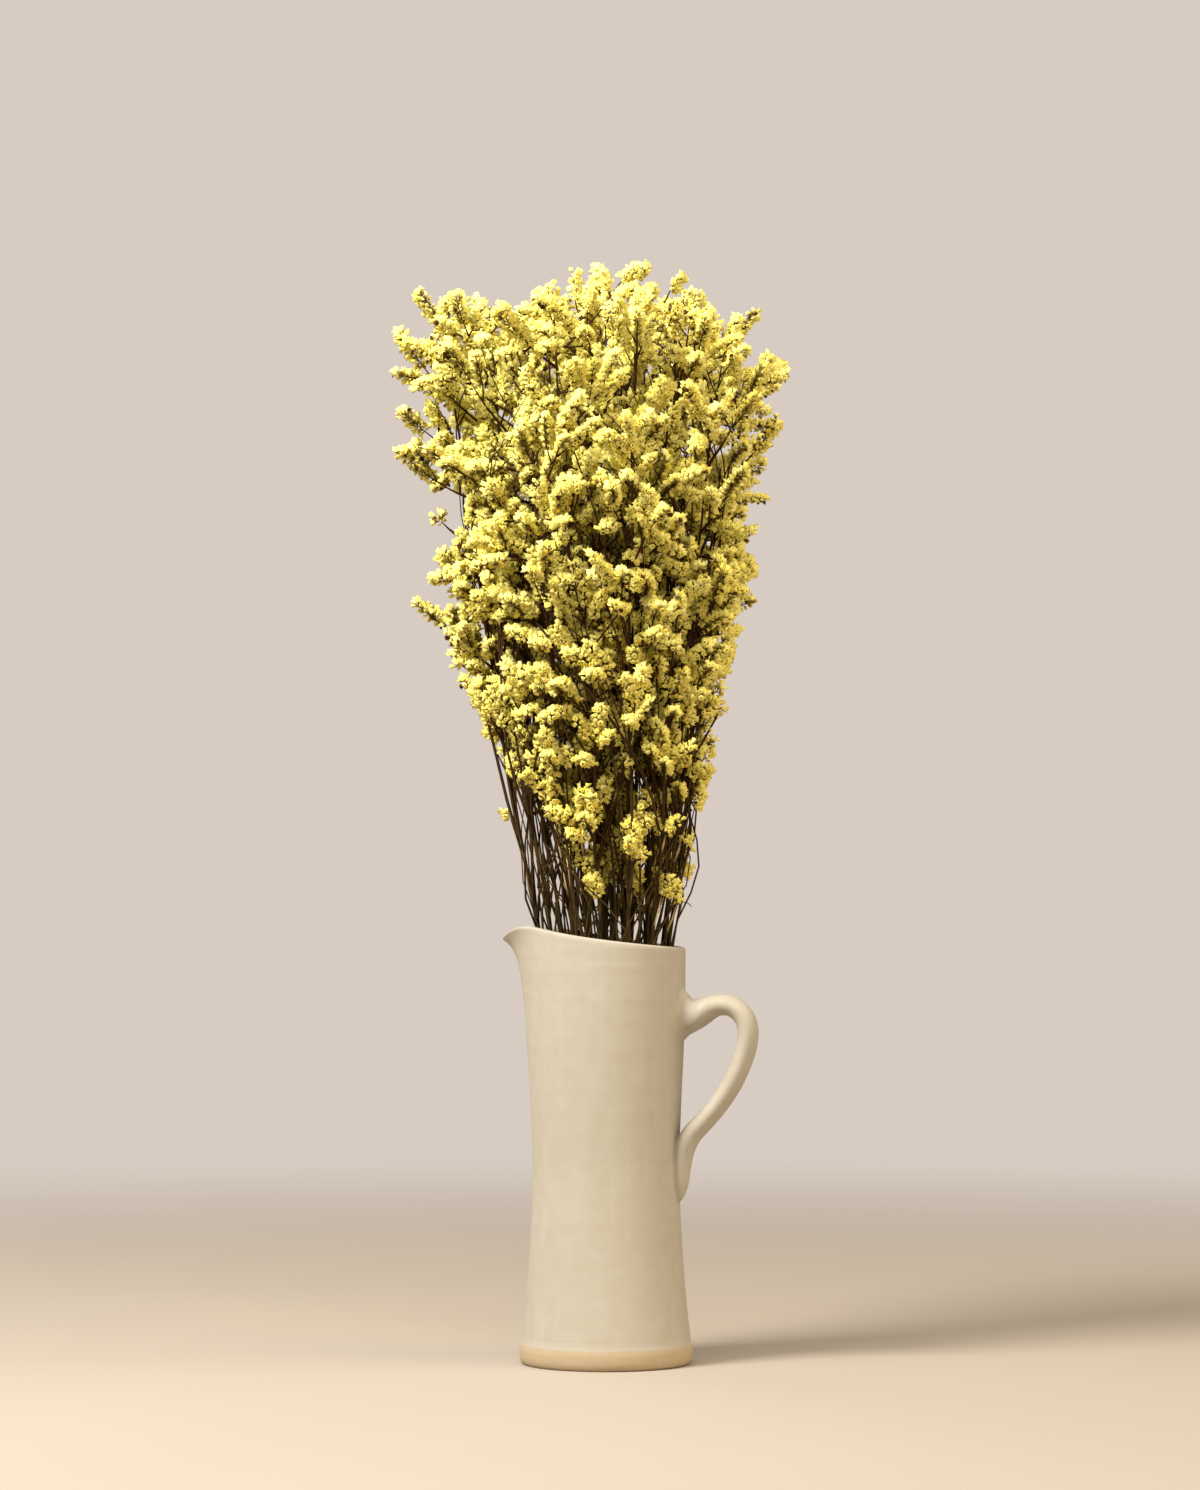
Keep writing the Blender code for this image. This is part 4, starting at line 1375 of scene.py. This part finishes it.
for number, piece in enumerate(stem_pieces, start=1):
    piece.data.materials.append(bark.material)
    piece.data.shade_smooth()
    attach(piece, "root")
    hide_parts(f"spray_{number:02d}")
print("Nodes in the bark:", len(bark.tree.nodes))

# %% [markdown]
# One floret
#
# A statice floret is a papery funnel, some four millimetres long, with five crumpled lobes.
# Its middle is a small dark pit where the petals have dried away, and its tail is brown. A cone
# of five sides has a corner for every lobe, and ten triangles are all that a shape repeated
# tens of thousands of times can have. Each copy is crumpled in its own way when it is stamped.

# %% Shape the floret
LOBES = 5
TAIL_RADIUS = 0.12
PIT_DEPTH = 0.22


def funnel(sides):
    """A funnel one unit wide and one long, its tail at the origin, opening along +Z.

    Merging leaves the corners in an order that differs from run to run, so they are sorted.
    """
    cup = bmesh.new()
    bmesh.ops.create_cone(
        cup, cap_ends=True, cap_tris=True, segments=sides, radius1=TAIL_RADIUS, radius2=0.5,
        depth=1.0, matrix=Matrix.Translation((0, 0, 0.5)),
    )
    tail = [vertex for vertex in cup.verts if vertex.co.z < 0.5]
    bmesh.ops.pointmerge(cup, verts=tail, merge_co=(0, 0, 0))
    for vertex in cup.verts:
        if math.hypot(vertex.co.x, vertex.co.y) < 0.1 and vertex.co.z > 0.5:
            vertex.co.z = 1.0 - PIT_DEPTH
    bmesh.ops.triangulate(cup, faces=cup.faces)
    bmesh.ops.recalc_face_normals(cup, faces=cup.faces)
    cup.verts.sort(key=lambda vertex: 10 * vertex.co.z + math.atan2(vertex.co.y, vertex.co.x))
    cup.verts.index_update()
    places = np.array([tuple(vertex.co) for vertex in cup.verts])
    faces = [[vertex.index for vertex in face.verts] for face in cup.faces]
    cup.free()
    turned = [face[face.index(min(face)):] + face[:face.index(min(face))] for face in faces]
    return places, np.array(sorted(turned))


floret_corners, floret_faces = funnel(LOBES)
print("A floret has", len(floret_faces), "triangles")

# %% [markdown]
# Stamping the florets
#
# The florets stand along the upper side of every spike, close enough to hide its line, and lean
# towards its tip. Their places and directions are worked out in Python, and numpy moves a copy
# of the floret's corners to each of them. A corner also gets a colour attribute, which the
# material reads: how yellow it is, a random tone of its floret, and how far from the tail it is.

# %% Places of the florets
PER_MM = 2.7
WRAP = (math.radians(98), math.radians(158))
DRY_BEYOND = math.radians(104)
FLORET_WIDE = 3.4 * MM
FLORET_LONG = 4.4 * MM
OFF_LINE = (0.1 * MM, 1.7 * MM)
SOFTNESS = 1.3
LUMP = 5.5 * MM
LUMPINESS = 0.13
FLORET_LEANS = (-18, 22)
TIP_LEAN = 52
WIDE_VARIES = (0.76, 1.22)
LONG_VARIES = (0.93, 1.07)
DRY_FRESHNESS = (0.1, 0.75)
DRY_LENGTH = 0.72
CRUMPLE = (0.7, 1.26)


def floret_stands(spike, rng):
    """For each floret of a spike: its root, axis, width, length, and how fresh it is."""
    length = length_of(spike.line) * (1 - spike.bare)
    count = max(round(length / MM * PER_MM), 5)
    start = rng.random()
    wrap = rng.uniform(*WRAP)
    stands = []
    for i in range(count):
        share = (i + 0.5) / count
        place, heading = line_point(spike.line, spike.bare + (1 - spike.bare) * share)
        side = square_to(heading, spike.upper)
        around = (((start + i * GOLDEN) % 1.0) * 2 - 1) * wrap + rng.uniform(-0.15, 0.15)
        radial = Matrix.Rotation(around, 3, heading) @ side
        lean = math.radians(8 + TIP_LEAN * share ** 6 + rng.uniform(*FLORET_LEANS))
        axis = radial * math.cos(lean) + heading * math.sin(lean) + side * 0.15
        lump = 1 + LUMPINESS * math.sin(math.tau * (start + length * share / LUMP))
        swell = spike.width * (0.84 + 0.2 * share) * lump
        wide = FLORET_WIDE * swell * rng.uniform(*WIDE_VARIES)
        is_dry = abs(around) > DRY_BEYOND
        freshness = rng.uniform(*DRY_FRESHNESS) if is_dry else 1.0
        long = FLORET_LONG * swell * rng.uniform(*LONG_VARIES) * (DRY_LENGTH if is_dry else 1.0)
        root = place + radial * rng.uniform(*OFF_LINE)
        stands.append((*root, *axis.normalized(), wide, long, freshness))
    return stands


# %% Stamp one mesh of florets
def placed_corners(stands, draw):
    """The corners of a floret at every stand, each copy turned and crumpled its own way."""
    roots, axes, count = stands[:, None, 0:3], stands[:, 3:6], len(stands)
    helper = np.where(np.abs(axes[:, 2:]) > 0.9, [[1.0, 0, 0]], [[0, 0, 1.0]])
    first = np.cross(axes, helper)
    first /= np.linalg.norm(first, axis=1, keepdims=True)
    second = np.cross(axes, first)
    turn = draw.uniform(0, math.tau, (count, 1))
    east = (first * np.cos(turn) + second * np.sin(turn))[:, None]
    north = np.cross(axes, east[:, 0])[:, None]
    corners = floret_corners[None] * stands[:, None, [6, 6, 7]]
    corners[:, on_rim] *= draw.uniform(*CRUMPLE, (count, on_rim.sum(), 1))
    spread = corners[..., :1] * east + corners[..., 1:2] * north
    outward = spread / np.maximum(np.linalg.norm(spread, axis=2, keepdims=True), 1e-9)
    return roots + spread + corners[..., 2:] * axes[:, None], axes[:, None] + outward * SOFTNESS


def stamped(name, stands, seed):
    """One mesh with a floret at every stand that keeps it inside the CAD box."""
    draw = np.random.default_rng(seed)
    table = np.array(stands, dtype=float)
    corners, normals = placed_corners(table, draw)
    kept = ((corners > np.array(cad_low)) & (corners < np.array(cad_high))).all(axis=(1, 2))
    corners, normals, fresh = corners[kept], normals[kept], table[kept][:, 8:]
    count, size = corners.shape[:2]
    faces = floret_faces[None] + np.arange(count)[:, None, None] * size
    shade = np.ones((count, size, 4), np.float32)
    shade[..., 0] = on_rim * fresh
    shade[..., 1] = draw.uniform(0, 1, (count, 1))
    shade[..., 2] = floret_corners[:, 2]
    mesh = bpy.data.meshes.new(name)
    mesh.from_pydata(corners.reshape(-1, 3), [], faces.reshape(-1, 3).tolist())
    colours = mesh.color_attributes.new("floret", "FLOAT_COLOR", "POINT")
    colours.data.foreach_set("color", shade.ravel())
    mesh.shade_smooth()
    mesh.normals_split_custom_set_from_vertices(normals.reshape(-1, 3))
    return linked(name, mesh)


on_rim = np.hypot(floret_corners[:, 0], floret_corners[:, 1]) > 0.2
floret_rng = random.Random(SEED + 3)
floret_pieces = []
for number, spray in enumerate(sprays, start=1):
    stands = [stand for spike in spray.spikes for stand in floret_stands(spike, floret_rng)]
    floret_pieces.append(stamped(f"florets_{number:02d}", stands, number))
counts = [len(piece.data.polygons) for piece in floret_pieces]
print("Triangles of florets:", sum(counts), "most in one piece:", max(counts))

# %% [markdown]
# The florets' colour
#
# Dried statice keeps a clear lemon yellow at its papery edges. It is deeper in the funnel and
# on older florets, and brown at the tail and in the pit. The attribute says where on the floret
# The attribute says where on the floret a point is, and a slow noise over the bouquet makes some
# spikes deeper than others. Florets low in the bouquet are painted a darker, duller yellow: painted
# shade, where the heads above shade them.

# %% Mix the yellow
petal = Finish("yellow_florets", Roughness=0.85, Specular_IOR_Level=0.12)
noted = petal.noted("floret")
yellowness, tone, along = (petal.channel(noted, name) for name in ("Red", "Green", "Blue"))
age = petal.noise(45.0, 2.0)
fresh = petal.mix(tone, srgb(252, 237, 108), srgb(255, 243, 154))
fresh = petal.mix((age * 2.6 - 1.0).clamped() * 0.5, fresh, srgb(246, 225, 88))
# Painted shade: towards the bottom of the bouquet the yellow is mixed with a darker one, standing in
# for the shade that the heads above cast.
fresh = petal.mix((1.0 - petal.axis("Z").step(0.28, 0.5)) * 0.5, fresh, srgb(226, 204, 90))
pit = petal.mix(tone.step(0.44, 0.54), srgb(68, 36, 4), srgb(214, 184, 62))
tail = petal.mix(tone, srgb(80, 44, 6), srgb(120, 80, 16))
dark = petal.mix(along.step(0.2, 0.6), tail, pit)
petal.wear(Base_Color=petal.mix(yellowness.step(0.08, 0.56), dark, fresh))

for number, piece in enumerate(floret_pieces, start=1):
    piece.data.materials.append(petal.material)
    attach(piece, "root")
    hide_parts(f"spray_{number:02d}")
print("Nodes in the yellow:", len(petal.tree.nodes))

# %% [markdown]
# The studio
#
# A part like this is shown on a plain pale floor in soft daylight. The main light is a round
# area light in front on the left, as the window was. Three wider ones stand for the sky above
# and for the room on the right and behind, and the world lights the rest from all sides. The
# floor fades out far away, so no horizon cuts the picture.

# %% Floor
FLOOR_SIZE = 12.0
ground = bmesh.new()
bmesh.ops.create_circle(ground, cap_ends=True, segments=96, radius=FLOOR_SIZE)
floor = to_object(ground, "floor")
pale = Finish("pale_floor", Roughness=0.9, Specular_IOR_Level=0.1)
pale.wear(Base_Color=pale.mix(pale.noise(3.0), srgb(168, 156, 141), srgb(172, 160, 145)))
distance = pale.node("ShaderNodeVectorMath", {"operation": "LENGTH"}, {0: pale.place}, output="Value")
clear = pale.node("ShaderNodeBsdfTransparent")
surface = Wire(pale, pale.shader.outputs[0])
faded = pale.node("ShaderNodeMixShader", inputs={0: distance.step(0.35, 2.4), 1: surface, 2: clear})
pale.feed(pale.tree.nodes["Material Output"].inputs["Surface"], faded)
floor.data.materials.append(pale.material)
floor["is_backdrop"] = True

# %% Lights
BACKDROP = srgb(216, 204, 194)
WORLD_COLOUR = (0.97, 0.865, 0.72, 1.0)
WORLD_LIGHT = 0.36
TARGET = Vector((0, 0, 0.36))


def area_light(name, azimuth, elevation, distance, size, power, colour):
    """A soft light that looks at the bouquet. The azimuth is from the camera, left negative."""
    light = bpy.data.lights.new(name, "AREA")
    light.shape = "DISK"
    light.size = size
    light.energy = power
    light.color = colour
    item = linked(name, light)
    turn = FRONT_TURN + math.radians(azimuth)
    rise = math.radians(elevation)
    item.location = TARGET + distance * Vector(
        (math.cos(rise) * math.sin(turn), -math.cos(rise) * math.cos(turn), math.sin(rise))
    )
    item.rotation_euler = (TARGET - item.location).to_track_quat("-Z", "Y").to_euler()


area_light("window_light", -50, 44, 1.9, 0.7, 60.0, (1.0, 0.985, 0.97))
area_light("sky_light", -8, 58, 2.0, 1.8, 27.0, (1.0, 0.98, 0.94))
area_light("fill_light", 70, 28, 3.0, 2.6, 57.0, (1.0, 0.84, 0.62))
area_light("wall_light", -140, 20, 3.0, 2.0, 18.0, (1.0, 0.95, 0.9))

world = bpy.data.worlds.new("studio")
scene.world = world
world.use_nodes = True
seen = world.node_tree.nodes["Background"]
seen.inputs["Color"].default_value = BACKDROP
lit = world.node_tree.nodes.new("ShaderNodeBackground")
lit.inputs["Color"].default_value = WORLD_COLOUR
lit.inputs["Strength"].default_value = WORLD_LIGHT
path = world.node_tree.nodes.new("ShaderNodeLightPath")
choose = world.node_tree.nodes.new("ShaderNodeMixShader")
links = world.node_tree.links
links.new(path.outputs["Is Camera Ray"], choose.inputs[0])
links.new(lit.outputs[0], choose.inputs[1])
links.new(seen.outputs[0], choose.inputs[2])
links.new(choose.outputs[0], world.node_tree.nodes["World Output"].inputs["Surface"])
